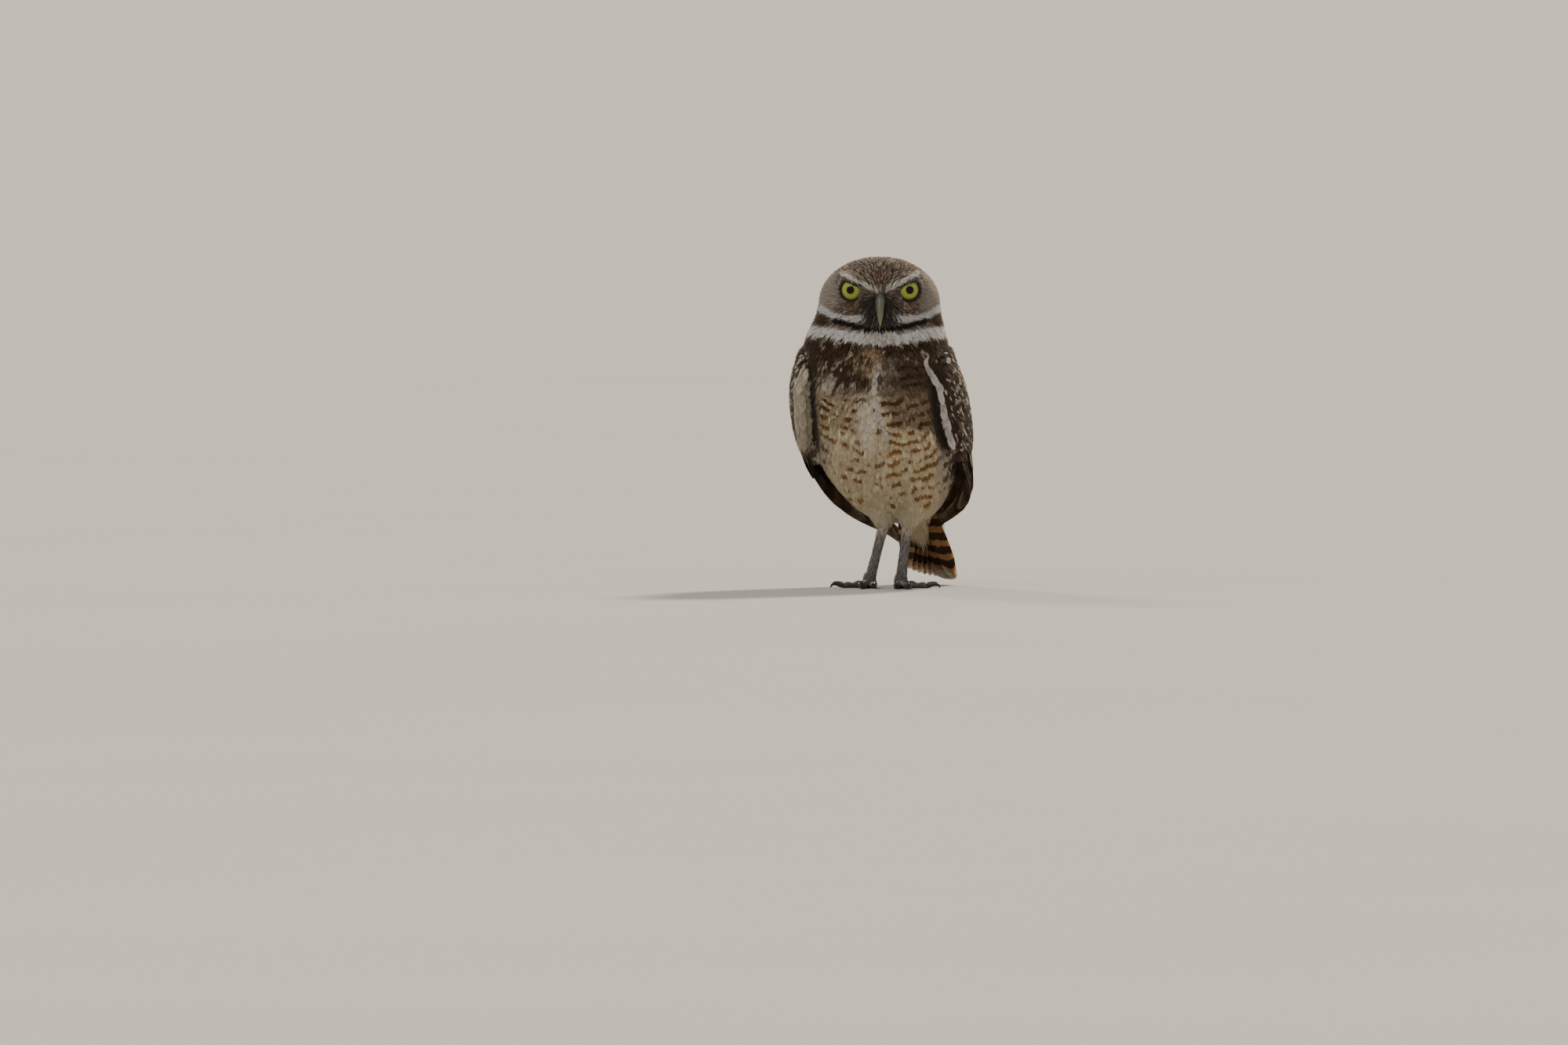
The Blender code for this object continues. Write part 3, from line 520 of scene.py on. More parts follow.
class Blade:
    """The outline of a vane as a grid from root to tip. A soft one has loose barbs round its end."""

    def __init__(self, rows, columns, round_tip, root_width=0.4, fringe=0, thick=False, lean=0.0):
        t = np.linspace(0, 1, rows) ** 0.85 * (CORE_END if fringe else 1.0)
        c = np.linspace(-1, 1, columns)
        grid_t, grid_c = (g.ravel() for g in np.meshgrid(t, c, indexing="ij"))
        count = rows * columns
        i, j = (g.ravel() for g in np.meshgrid(np.arange(rows - 1), np.arange(columns - 1), indexing="ij"))
        first = i * columns + j
        quads = np.stack([first, first + 1, first + columns + 1, first + columns], -1)
        triangles = [quads[:, [0, 1, 2]], quads[:, [0, 2, 3]]]
        self.under, self.loose = np.zeros(count), np.zeros(count)
        if thick:
            below = triangles[0][:, ::-1] + count, triangles[1][:, ::-1] + count
            rim = [k for k in range(columns)]
            rim += [k * columns + columns - 1 for k in range(1, rows)]
            rim += [(rows - 1) * columns + k for k in range(columns - 2, -1, -1)]
            rim += [k * columns for k in range(rows - 2, 0, -1)]
            rim = np.array(rim)
            after = np.roll(rim, -1)
            walls = np.stack([after, rim, rim + count], -1), np.stack([after, rim + count, after + count], -1)
            triangles += [*below, *walls]
            grid_t, grid_c = np.tile(grid_t, 2), np.tile(grid_c, 2)
            self.under, self.loose = np.repeat((0.0, 1.0), count), np.zeros(2 * count)
        if fringe:
            at = np.linspace(-1, 1, fringe)
            on_side = np.clip((np.abs(at) - 0.4) / 0.6, 0, 1)
            barb_t, barb_c = CORE_END - 0.48 * on_side, np.sign(at) * np.minimum(np.abs(at) / 0.4, 1)
            foot = 0.6 / max(fringe * 0.4, 1) * (1 - on_side)
            barbs_t = barb_t - 0.045 * on_side - 0.03, barb_t - 0.01, barb_t + 0.15
            barbs_c = barb_c * (1 - 0.12 * on_side) - foot, barb_c + foot, barb_c + np.sign(at) * 0.20 * on_side
            grid_t, grid_c = np.concatenate([grid_t, *barbs_t]), np.concatenate([grid_c, *barbs_c])
            n = np.arange(fringe)
            triangles.append(count + np.stack([n, n + fringe, n + 2 * fringe], -1))
            self.under = np.zeros(count + 3 * fringe)
            self.loose = np.repeat((0.0, 1.0), (count + 2 * fringe, fringe))
        self.triangles = np.concatenate(triangles)
        self.c = grid_c
        self.v = np.minimum(grid_t, 1.0)
        edge = np.minimum(np.abs(grid_c), 1.0)
        self.t = np.clip(grid_t * (1 - round_tip * edge**2.2 * smooth(0.45, 1.0, grid_t)), 0, 1.1)
        root = root_width + (1 - root_width) * smooth(0.0, 0.4, grid_t)
        tip = 1 - 0.42 * smooth(0.68, 1.05, grid_t) ** 1.5
        self.width = root * tip
        self.shift = lean * (1 - edge**2) * root * tip


def at_stations(values, t):
    """Values kept at even stations from root to tip, read in between."""
    last = values.shape[1] - 1
    place = np.clip(t, 0, 1) * last
    low = np.minimum(place.astype(int), last - 1)
    share = (place - low)[None, :, None]
    return values[:, low] * (1 - share) + values[:, low + 1] * share


def lay_blades(plumes, blade, rng):
    """Points of all the feathers of a piece. Each feather is a blade along its own stations."""
    place, side, out = plumes["place"], plumes["side"], plumes["out"]
    half = plumes["width"][:, None, None] / 2
    stretch = at_stations(place, np.ones(1))[:, 0] - at_stations(place, np.full(1, 0.7))[:, 0]
    across = blade.c * blade.width + blade.shift
    count = len(place)
    points = at_stations(place, blade.t)
    points = points + at_stations(side, blade.t) * (across[None, :, None] * half)
    camber = plumes["camber"][:, None, None] * half * (np.minimum(np.abs(blade.c), 1) ** 2)[None, :, None]
    height = -camber - (blade.under[None, :] * plumes["thick"][:, None])[..., None]
    roll = plumes["roll"][:, None, None] * half * blade.c[None, :, None]
    points = points + at_stations(out, blade.t) * (height + roll)
    past_end = np.maximum(blade.t - 1, 0)[None, :, None]
    loose, shape = blade.loose[None, :, None], (count, len(blade.t), 1)
    points = points + stretch[:, None] * (past_end / 0.3 + loose * rng.uniform(-0.2, 0.25, shape))
    points = points + at_stations(side, blade.t) * (loose * half * rng.uniform(-0.24, 0.24, shape))
    return points + at_stations(out, blade.t) * (loose * half * rng.uniform(-0.14, 0.18, shape))


def vane_piece(name, groups, slot, rng, unwrap):
    """One mesh of many feathers, with the colours that its material reads."""
    shells, per_point, vane_map, bake_map = [], [], [], []
    for plumes, blade in groups:
        points = lay_blades(plumes, blade, rng)
        count, each = points.shape[:2]
        triangles = blade.triangles[None] + (np.arange(count) * each)[:, None, None]
        shells.append((points.reshape(-1, 3), triangles.reshape(-1, 3)))
        looks = np.concatenate([plumes["ground"], plumes["chance"][:, None], plumes["mark"], plumes["tip"][:, None],
                                plumes["pattern"]], 1)
        own_bars = (blade.v[None, :] - 0.76) * plumes["bars"][:, None]
        body_bars = row_phase(points) + 0.24 * (plumes["chance"][:, None] - 0.5)
        phase = np.where(plumes["bars"][:, None] > 0, own_bars, body_bars)
        per_point.append(np.concatenate([np.repeat(looks, each, axis=0), phase.reshape(-1, 1)], 1))
        u = np.tile(np.clip((blade.c + 1) / 2, 0, 1), count)
        v = np.tile(blade.v, count)
        vane_map.append(np.stack([u, v], -1))
        root = np.repeat(unwrap(plumes["place"][:, 0]), each, axis=0)
        bake_map.append(root + (np.stack([u, v], -1) - 0.5) * 0.003)
    points, triangles = joined(shells)
    piece = new_piece(name, points, triangles, slot)
    looks = np.concatenate(per_point)
    add_colours(piece, "ground", looks[:, 0:4])
    add_colours(piece, "marking", looks[:, 4:8])
    add_colours(piece, "pattern", looks[:, 8:12])
    add_map(piece, "vane", np.concatenate(vane_map))
    add_map(piece, "OFBake", np.concatenate(bake_map))
    return piece


def row_phase(points):
    """Counts the rows of bars up the body. The rows rise towards the flanks."""
    aside = points[..., 0] - by_height(PARTING_LINE, points[..., 2])
    x, z = points[..., 0], points[..., 2]
    waver = 0.16 * np.sin(x / 5.0 + z / 9.0) + 0.11 * np.sin(x / 2.2 + z / 3.5 + 1.0)
    return (points[..., 2] - ROW_RISE * (aside / 30) ** 2) / ROW_HEIGHT + waver


def body_unwrap(points):
    """A place on the skin laid out flat, by the angle round the body and the height."""
    return np.stack([body_angle(points) / (2 * math.pi) + 0.5, points[:, 2] / (CROWN_Z + 8)], -1)


def blank_plumes(place, side, out, width, rng):
    count = len(place)
    return {
        "place": place, "side": side, "out": out, "width": np.broadcast_to(width, count).astype(float),
        "camber": np.full(count, 0.18), "roll": rng.uniform(-0.06, 0.06, count), "thick": np.zeros(count),
        "ground": np.full((count, 3), 0.2), "mark": np.full((count, 3), 0.5), "tip": np.zeros(count),
        "pattern": np.zeros((count, 3)), "bars": np.full(count, 1.6), "chance": rng.random(count),
    }


def part_of(plumes, keep):
    return {key: values[keep] for key, values in plumes.items()}


def combed(surface, roots, lie, length, lift_root, lift_tip, stations, rng, stray=0.12):
    """Lays feathers along the lie of the coat, each rising slowly off the skin."""
    spot, normal = surface.nearest(roots)
    jitter = rng.normal(0, stray, (len(spot), 1))
    ahead = flattened(lie(spot, normal), normal)
    ahead = flattened(ahead + np.cross(normal, ahead) * jitter, normal)
    place, side, out = [], [], []
    length = np.asarray(length)
    for k in range(stations):
        t = k / (stations - 1)
        lift = lift_root + (lift_tip - lift_root) * (1 - (1 - t) ** 1.7)
        place.append(spot + normal * lift[:, None])
        side.append(np.cross(normal, ahead))
        out.append(normal)
        if k < stations - 1:
            spot, normal_next = surface.nearest(spot + ahead * (length / (stations - 1))[:, None])
            steer = flattened(lie(spot, normal_next), normal_next)
            steer = flattened(steer + np.cross(normal_next, steer) * jitter, normal_next)
            ahead = flattened(ahead * 0.5 + steer * 0.5, normal_next)
            normal = unit(normal * 0.35 + normal_next * 0.65)
    place = np.stack(place, 1)
    heading = unit(np.gradient(place, axis=1))
    out = flattened(np.stack(out, 1), heading)
    return place, np.cross(out, heading), out


# Colours of the plumage, as linear light

BLACK = (0.012, 0.010, 0.009)
UMBER = (0.034, 0.019, 0.011)
BROWN = (0.080, 0.046, 0.025)
GREY_BROWN = (0.150, 0.112, 0.082)
GREY = (0.27, 0.235, 0.20)
TAN = (0.28, 0.19, 0.115)
RUFOUS = (0.280, 0.138, 0.038)
BUFF = (0.46, 0.37, 0.25)
CREAM = (0.54, 0.44, 0.275)
WHITE = (0.63, 0.615, 0.59)

MALAR_LINE = ((10, 173.2), (16, 172.4), (23, 172.6), (31, 175), (37, 178.5))
BROW_JOIN = ((0, 191.0), (5.5, 191.8))
BROW_LINE = ((4.8, 191.6), (7.5, 192.4), (13.5, 195.4), (18.5, 198.4), (23.5, 201))
COLLAR_LINE = ((0, 165), (10, 166), (19, 168.8), (28, 171))
THROAT_LINE = ((0, 160.4), (12, 160.4), (22, 161.8), (30, 163.4), (48, 164.5))
PARTING_LINE = ((65, 2.5), (80, 0.0), (97.5, 2.5), (112, -2.3), (128, -5.6), (143, -2.3), (158, -1.5))
ROW_HEIGHT, ROW_RISE = 6.6, 6.5


def near_line(across, z, line, half_width, blur=0.7):
    """1 on a line of the face, 0 away from it."""
    spots = np.stack([across, z], -1)
    line = np.asarray(line, float)
    closest = np.full(len(spots), np.inf)
    for start, end in zip(line, line[1:]):
        way = end - start
        t = np.clip((spots - start) @ way / (way @ way), 0, 1)
        closest = np.minimum(closest, np.linalg.norm(spots - start - t[:, None] * way, axis=1))
    return 1 - smooth(half_width - blur, half_width + blur, closest)


def near_spot(a, b, centre, radii, blur=0.25):
    """1 inside an ellipse, 0 outside."""
    distance = np.sqrt(((a - centre[0]) / radii[0]) ** 2 + ((b - centre[1]) / radii[1]) ** 2)
    return 1 - smooth(1 - blur, 1 + blur, distance)


class Looks:
    """The ground colour, the marks and the pattern of each feather."""

    def __init__(self, count):
        self.ground = np.full((count, 3), 0.2)
        self.mark = np.full((count, 3), 0.5)
        self.pattern = np.zeros((count, 3))  # strength of bars, spots and shaft streak
        self.bars = np.full(count, 1.6)
        self.tip = np.zeros(count)

    def paint(self, where, **looks):
        for key, value in looks.items():
            old = getattr(self, key)
            share = where if old.ndim == 1 else where[:, None]
            setattr(self, key, mix(old, np.asarray(value, float), share))

    def dress(self, plumes):
        for key in ("ground", "mark", "pattern", "bars", "tip"):
            plumes[key] = getattr(self, key)
        return plumes


def brow_height(across):
    return by_height(((0, 189.4), (6.6, 191.6), (13.5, 195.4), (18.5, 198.4), (23.5, 201), (40, 204)), across)


def paint_head(looks, points, normals, chance):
    x, z = points[:, 0], points[:, 2]
    across = np.abs(x - FACE_MIDDLE_X)
    front = smooth(0.0, 0.35, -normals[:, 1])
    head = mix(smooth(146, 172, z), smooth(158, 166, z), front)
    looks.paint(head, ground=(0.060, 0.037, 0.024), mark=(0.43, 0.36, 0.28), pattern=(0, 0.1, 0.5), bars=1.6, tip=0.0)
    streaked = smooth(0.52, 0.56, chance)
    looks.paint(head * streaked, pattern=(0, 0.3, 1.0))
    looks.paint(head * front * smooth(0.80, 0.84, chance) * smooth(188, 196, z), ground=GREY_BROWN)
    face = head * front * smooth(1.0, -1.0, z - brow_height(across))
    pale = smooth(0.66, 0.7, chance)
    looks.paint(face, ground=(0.125, 0.090, 0.066), mark=GREY, pattern=(0, 0, 0.6), tip=0.0)
    looks.paint(face * pale, ground=GREY)
    cheek = near_spot(across, z, (16, 179.5), (12, 4.2), 0.4)
    looks.paint(face * cheek * smooth(0.9, 0.7, chance), ground=(0.105, 0.053, 0.027), pattern=(0, 0, 0.3))
    looks.paint(face * near_spot(across, z, (8.3, 182.5), (3.6, 5.5), 0.4), ground=(0.070, 0.032, 0.016))
    looks.paint(face * near_spot(across, z, (0, 185), (6.5, 4.5), 0.4), ground=(0.040, 0.030, 0.024), pattern=(0, 0, 0))
    looks.paint(face * smooth(22, 32, across) * smooth(176, 182, z), ground=(0.33, 0.29, 0.24))
    looks.paint(head * front * near_line(across, z, BROW_LINE, 1.55), ground=(0.60, 0.57, 0.53), pattern=(0, 0, 0))
    looks.paint(head * front * near_line(across, z, BROW_JOIN, 1.7) * (chance > 0.15),
                ground=(0.46, 0.43, 0.39), pattern=(0, 0, 0))
    looks.paint(head * front * near_spot(across, z, (0, 197), (5.5, 5), 0.5), ground=(0.095, 0.052, 0.030))
    looks.paint(head * front * near_spot(across, z, (0, 171.5), (11, 5), 0.35),
                ground=(0.075, 0.060, 0.050), mark=GREY, pattern=(0, 0, 0.7))
    looks.paint(head * front * near_line(across, z, MALAR_LINE, 2.3), ground=(0.58, 0.57, 0.56), pattern=(0, 0, 0))
    dark = near_spot(across, z, (37, 171.5), (5.0, 3.8), 0.35)
    looks.paint(front * dark, ground=UMBER, mark=RUFOUS, pattern=(0, 0.4, 0))
    looks.paint(smooth(0.2, 0.5, -normals[:, 1]) * near_line(across, z, COLLAR_LINE, 1.9),
                ground=BLACK, mark=UMBER, pattern=(0, 0, 0.2), tip=0.0)


def paint_body(looks, points, normals, chance):
    x, z = points[:, 0], points[:, 2]
    body = 1 - smooth(158, 166, z)
    front = smooth(-0.15, 0.2, -normals[:, 1]) * body
    looks.paint(np.ones(len(z)), ground=(0.050, 0.029, 0.016), mark=(0.43, 0.36, 0.27), pattern=(0, 0, 0), bars=1.6, tip=0.15)
    looks.paint(body * (chance > 0.62), pattern=(0, 0.9, 0))
    aside = x - by_height(PARTING_LINE, z)
    low = smooth(130, 121, z)
    amount = by_height(((47, 0.0), (54, 0.36), (64, 0.50), (76, 0.54), (96, 0.60), (104, 0.68), (120, 0.76)), z)
    amount = amount * mix(1.0, 0.72, smooth(2, -2, aside))
    patchy = 0.5 + 0.5 * np.sin(x / 2.3 + 2.2 * np.sin(z / 5.1)) * np.sin(z / 5.6 + 2.6 * np.sin(x / 6.9))
    barred = (0.2 * chance + 0.8 * patchy < amount).astype(float)
    bar_brown = mix(np.array((0.065, 0.033, 0.015)), np.array(RUFOUS), smooth(122, 96, z)[:, None])
    bar_brown = bar_brown * mix(0.6, 1.25, chance)[:, None]
    looks.paint(front, ground=mix(np.array(CREAM), np.array((0.60, 0.52, 0.37)), chance[:, None]), tip=0.0)
    looks.paint(front, mark=bar_brown, bars=0, pattern=(0, 0, 0))
    looks.paint(front * barred, pattern=(1, 0, 0))
    breast = front * (1 - low)
    looks.paint(breast, ground=(0.044, 0.024, 0.012), mark=(0.36, 0.30, 0.225), tip=0.0, pattern=(0, 0, 0))
    blotch = np.sin(x / 3.0 + 1.8 * np.sin(z / 4.3)) * np.sin(z / 3.7 + 2.1 * np.sin(x / 5.7) + 1.0)
    speckled = (breast > 0.5) * (0.55 * blotch + chance > mix(0.72, 1.15, smooth(136, 152, z)))
    looks.paint(speckled, bars=1.6, pattern=(0, 0.9, 0), tip=0.25)
    looks.paint((breast > 0.5) * (0.7 * blotch + chance > 1.25), ground=(0.25, 0.20, 0.145))
    mottled = (breast > 0.5) * (chance < 0.22)
    looks.paint(mottled * smooth(154, 148, z), ground=(0.085, 0.050, 0.029), pattern=(0, 0, 0.15))
    pale_row = near_spot(np.abs(x + 3), z, (31, 131), (8, 5), 0.5) * (chance > 0.35)
    looks.paint(front * pale_row, ground=(0.42, 0.375, 0.30), pattern=(0, 0, 0))
    streaky = front * smooth(149, 143, z) * smooth(126, 132, z) * smooth(3, 8, aside) * (patchy + 0.3 * chance > 0.55)
    looks.paint(streaky, bars=0, pattern=(1, 0, 0))
    inner = smooth(15, 8, aside + 4 * blotch)
    deep = mix(np.array((0.082, 0.050, 0.029)), np.array((0.25, 0.21, 0.165)), inner[:, None])
    deep = mix(np.array((0.24, 0.175, 0.11)), deep, smooth(120, 136, z)[:, None])
    looks.paint(front * smooth(151, 143, z) * smooth(100, 106, z) * smooth(3, 9, aside),
                ground=deep, mark=mix(np.array((0.080, 0.040, 0.017)), np.array((0.040, 0.021, 0.011)),
                                      smooth(118, 134, z)[:, None]), tip=0.0)
    band = front * smooth(131, 124, z) * smooth(100, 106, z)
    looks.paint(band * smooth(-6, -14, aside) * (chance > 0.3), ground=(0.29, 0.22, 0.145))
    looks.paint(front * near_spot(x, z, (-7.5, 146), (7.5, 9), 0.6) * (chance > 0.25),
                ground=TAN, mark=BUFF, pattern=(0, 0.2, 0))
    plain = near_spot(x, z, (-10, 107), (6, 15), 0.75) * (chance > 0.12)
    looks.paint(front * plain, ground=(0.60, 0.54, 0.44), pattern=(0, 0, 0))
    parting = front * smooth(2.7, 1.2, np.abs(aside)) * smooth(90, 98, z) * smooth(148, 142, z) * (chance > 0.2)
    looks.paint(parting, ground=(0.50, 0.46, 0.40), pattern=(0, 0, 0))
    flank = front * smooth(30, 38, np.abs(aside)) * smooth(104, 96, z)
    looks.paint(flank, ground=(0.40, 0.34, 0.26), mark=(0.11, 0.065, 0.035))
    below = smooth(1.0, -1.0, (points - TAIL_ROOT) @ tail_axes()[2])
    vent = body * smooth(52, 47, z) * np.maximum(below, smooth(0.1, -0.2, normals[:, 1]))
    looks.paint(vent, ground=(0.56, 0.48, 0.35), pattern=(0, 0, 0), mark=CREAM, tip=0.0)
    # Painted shade: body feathers just ahead of each wing's front edge are darkened, where the wing and breast meet in
    # shadow.
    for wing in WINGS.values():
        share = wing.across(points)
        painted_crease_shade = smooth(-0.16, -0.08, share) * (share < 0.05) * smooth(84, 92, z) * smooth(146, 138, z)
        looks.paint(front * painted_crease_shade, ground=(0.040, 0.028, 0.020), pattern=(0, 0, 0))


def paint_throat(looks, points, normals):
    x, z = points[:, 0], points[:, 2]
    across = np.abs(x - FACE_MIDDLE_X)
    front = smooth(-0.35, 0.0, -normals[:, 1])
    band = front * near_line(across, z, THROAT_LINE, 3.3)
    looks.paint(band, ground=WHITE, pattern=(0, 0, 0), tip=0.0)
    looks.paint(band * smooth(13, 5, across), ground=(0.52, 0.49, 0.44))


def paint_wing(looks, points, chance, where, edge):
    z = points[:, 2]
    looks.paint(where, ground=(0.046, 0.028, 0.017), mark=(0.46, 0.39, 0.30), pattern=(0, 0, 0), bars=1.6, tip=0.1)
    looks.paint(where * (chance > 0.55), pattern=(0, 1.0, 0))
    looks.paint(where * edge, ground=(0.47, 0.405, 0.29), mark=CREAM, pattern=(0, 0, 0), tip=0.0)
    looks.paint(where * edge * smooth(92, 84, z), ground=UMBER)


def wing_places(points, normals):
    """For each wing, where points lie across it, and how much of its front edge they are."""
    centre_x, centre_y, _, _, _ = section_at(WING_BED, points[:, 2])
    centre = np.stack([centre_x, centre_y], -1)
    radial = unit(points[:, :2] - centre)
    facing = (normals[:, :2] * radial).sum(1)
    bed = body_points(WING_BED, body_angle(points), points[:, 2])[:, :2]
    stand = np.linalg.norm(points[:, :2] - centre, axis=1) - np.linalg.norm(bed - centre, axis=1)
    for word, wing in WINGS.items():
        across = wing.across(points)
        lowest = PAD_END_Z - 9 + 16 * np.clip(across, 0, 1) ** 1.3
        on_wing = (across > -0.13) & (across < 1.03) & (points[:, 2] < WING_TOP_Z - 3) & (points[:, 2] > lowest)
        panel = wing.panel_width(points[:, 2])
        edge = smooth(0.90, 0.72, facing) * (np.abs(across) < panel + 0.06) * smooth(145, 139, points[:, 2])
        edge = np.maximum(edge, smooth(0.0, -0.03, across - panel) * smooth(145, 139, points[:, 2]))
        edge = edge * smooth(wing.pale_from - 0.7, wing.pale_from + 0.7, stand)
        on_wing &= (across > -0.02) | (edge > 0.5)
        yield word, on_wing.astype(float), edge


def looks_at(points, normals, chance):
    """The markings of the coat and of the skin under it."""
    looks = Looks(len(points))
    paint_body(looks, points, normals, chance)
    paint_head(looks, points, normals, chance)
    paint_throat(looks, points, normals)
    for _, on_wing, edge in wing_places(points, normals):
        paint_wing(looks, points, chance, on_wing, edge)
    return looks


# The lie of the coat and the size of its feathers


def tail_axes():
    ahead = unit(TAIL_TIP - TAIL_ROOT)
    across = flattened(TAIL_ACROSS, ahead)
    return ahead, across, unit(np.cross(across, ahead))


def near_tail(points):
    ahead, _, _ = tail_axes()
    along = (points - TAIL_ROOT) @ ahead
    aside = np.linalg.norm(points - TAIL_ROOT - along[:, None] * ahead, axis=1)
    return smooth(20, 12, aside) * smooth(-16, -8, along)


def lie_of_coat(points, normals):
    x, y, z = points.T
    aside = x - by_height(PARTING_LINE, z)
    front = smooth(0.0, 0.5, -normals[:, 1])
    spread = 0.22 * np.tanh(aside / 14) * front
    way = unit(np.stack([spread, 0.25 + 0.25 * smooth(100, 60, z), -np.ones(len(x))], -1))
    for _, on_wing, edge in wing_places(points, normals):
        back = (on_wing * (1 - edge))[:, None]
        way = unit(way + back * np.array((0, 0.45, 0)))
    way = mix(way, tail_axes()[0], near_tail(points)[:, None])
    head = (smooth(158, 168, z) * smooth(14, -6, y))[:, None]
    way = unit(mix(way, unit(points - BILL_ROOT), head))
    for side in (1, -1):
        away = points - eye_centre(side)
        near = np.exp(-((np.linalg.norm(away[:, [0, 2]], axis=1) / 13) ** 2))
        lid_way = np.array((-side * math.sin(LID_SLANT), 0, math.cos(LID_SLANT)))
        above = smooth(1.0, 4.0, away @ lid_way)
        pull = 0.85 * near * smooth(-9, -3, side * away[:, 0]) * (1 - above)
        way = unit(mix(way, unit(away), pull[:, None] * head))
        along_brow = np.array((side * math.cos(BROW_SLOPE), 0, math.sin(BROW_SLOPE))) + 0.3 * lid_way
        way = unit(mix(way, unit(along_brow), (above * near)[:, None] * head))
    return way


def on_face(points, normals):
    across = np.abs(points[:, 0] - FACE_MIDDLE_X)
    return (smooth(166, 170, points[:, 2]) * smooth(0.15, 0.5, -normals[:, 1])
            * smooth(4.0, 1.0, points[:, 2] - brow_height(across)))


BODY_SPACING = ((40, 1.7), (60, 2.0), (90, 2.05), (120, 1.9), (140, 1.8), (155, 1.45), (165, 1.35))
BODY_LENGTH = ((40, 9), (60, 12), (90, 13), (120, 11.5), (140, 10), (155, 7.5), (165, 7))
BODY_WIDTH = ((40, 3.4), (60, 4.3), (90, 4.6), (120, 4.2), (140, 3.9), (155, 2.9), (165, 2.5))


def coat_size(points, normals, table, crown, face, wing, edging):
    z = points[:, 2]
    size = mix(by_height(table, z), crown, smooth(163, 170, z))
    size = mix(size, face, on_face(points, normals))
    for _, on_wing, edge in wing_places(points, normals):
        size = mix(size, mix(wing, edging, edge), on_wing)
    return size


def coat_spacing(points, normals):
    return coat_size(points, normals, BODY_SPACING, 1.35, 0.92, 2.1, 1.2)


def lid_opening(around):
    """How far the lids open round the eye, in degrees from its axis. The upper lid droops to the bill."""
    towards = np.cos(around - (math.pi / 2 + LID_SLANT))
    upper = np.degrees(np.arcsin(np.clip(LID_DROP / EYE_RADIUS / np.maximum(towards, 0.2), 0, 1)))
    round_lid = IRIS_REACH - 1.0 - 1.5 * np.maximum(-np.sin(around), 0)
    soft = 1.6
    return -soft * np.log(np.exp(-upper / soft) + np.exp(-round_lid / soft))


def eye_angles(side, points):
    """The angle of points from an eye's axis, in degrees, and the angle round it."""
    away = points - eye_centre(side)
    axis = eye_axis(side)
    across = unit(np.array((-axis[1], axis[0], 0.0))) * side
    polar = np.degrees(np.arccos(np.clip(unit(away) @ axis, -1, 1)))
    return polar, np.arctan2(away @ UP, away @ across), np.linalg.norm(away, axis=-1)


def clear_of_face_parts(points):
    """Where feathers may start: not in the eyes, nor under the bill."""
    clear = np.ones(len(points), bool)
    for side in (1, -1):
        polar, around, distance = eye_angles(side, points)
        clear &= (polar > lid_opening(around) + LID_RIM) | (distance > EYE_RADIUS + 5)
    across = np.abs(points[:, 0] - FACE_MIDDLE_X)
    at_bill = (across < 3.0) & (np.abs(points[:, 2] - 181) < 6.5) & (points[:, 1] < -20)
    return clear & ~at_bill


# Skin


def body_shell():
    heights = np.concatenate([np.arange(41, 182, 3.0), np.arange(182, CROWN_Z - 1, 1.5), [CROWN_Z - 0.5]])
    angles = np.linspace(0, 2 * math.pi, 128, endpoint=False)
    angles = angles - 0.35 * np.cos(angles)
    inset = 2.2 - 0.8 * smooth(160, 175, heights)
    return closed_tube(lifted(TRUNK, angles[None], heights[:, None], -inset[:, None]))


def eye_mound(side):
    """The flesh round an eye, which the small feathers of the brow and lids grow on."""
    columns = 40
    around = np.linspace(0, 2 * math.pi, columns, endpoint=False)
    opening = lid_opening(around) + LID_RIM - 2
    brow = 0.7 * np.maximum(np.cos(around - (math.pi / 2 + LID_SLANT)), 0)
    section = ((0.0, 0.1), (0.12, 0.75), (0.5, 0.85), (1.0, 0.4), (1.1, -4.0), (0.5, -4.0), (0.12, -4.0))
    rings = []
    for share, height in section:
        polar = np.radians(mix(opening, 78, share))
        rings.append(polar_points(side, polar, around, EYE_RADIUS + height + brow * (height > 0.5)))
    points = np.concatenate(rings)
    quads = tube_faces(len(rings) + 1, columns) % len(points)
    return points, np.concatenate([quads[:, [0, 1, 2]], quads[:, [0, 2, 3]]])


def wing_shell(wing):
    rows, columns = 28, 22
    across = np.linspace(0, 1, columns)[None]
    t = np.linspace(0, 1, rows)[:, None]
    z = mix(wing.pad_top(across), PAD_END_Z + 16 * across**1.3, t**0.9)
    outer = wing.points(z, across, np.maximum(wing.pad_lift(z, across) - 1.1, -0.6))
    inner = wing.points(z, across, np.full(z.shape, -3.5))
    return closed_tube(np.concatenate([outer, inner[:, ::-1]], 1))


def limb(top, bottom, shape, sides=24):
    top, bottom = np.array(top, float), np.array(bottom, float)
    a = np.linspace(0, 2 * math.pi, sides, endpoint=False)
    rings = []
    for t, wide, deep in shape:
        ring = np.stack([wide * np.cos(a), deep * np.sin(a), np.zeros(sides)], -1)
        rings.append(mix(top, bottom, t) + ring)
    return closed_tube(rings)


def tail_stump():
    ahead, across, up = tail_axes()
    a = np.linspace(0, 2 * math.pi, 24, endpoint=False)[:, None]
    rings = [TAIL_ROOT + ahead * s + across * w * np.cos(a) + up * 0.4 * w * np.sin(a)
             for s, w in ((-16, 8), (-8, 11), (0, 12), (8, 11), (16, 9), (24, 6), (30, 3))]
    return closed_tube(rings)


THIGH_SHAPE = ((0, 9.5, 11.5), (0.3, 9, 11), (0.55, 7.6, 9.4), (0.75, 5.8, 7.2), (0.9, 4.2, 5.2), (1, 3.4, 3.8))
TARSUS_SHAPE = ((0, 3.3, 3.5), (0.12, 3.1, 3.2), (0.35, 2.8, 2.9), (0.6, 2.8, 2.8), (0.85, 3.3, 3.2), (1, 3.9, 3.6))


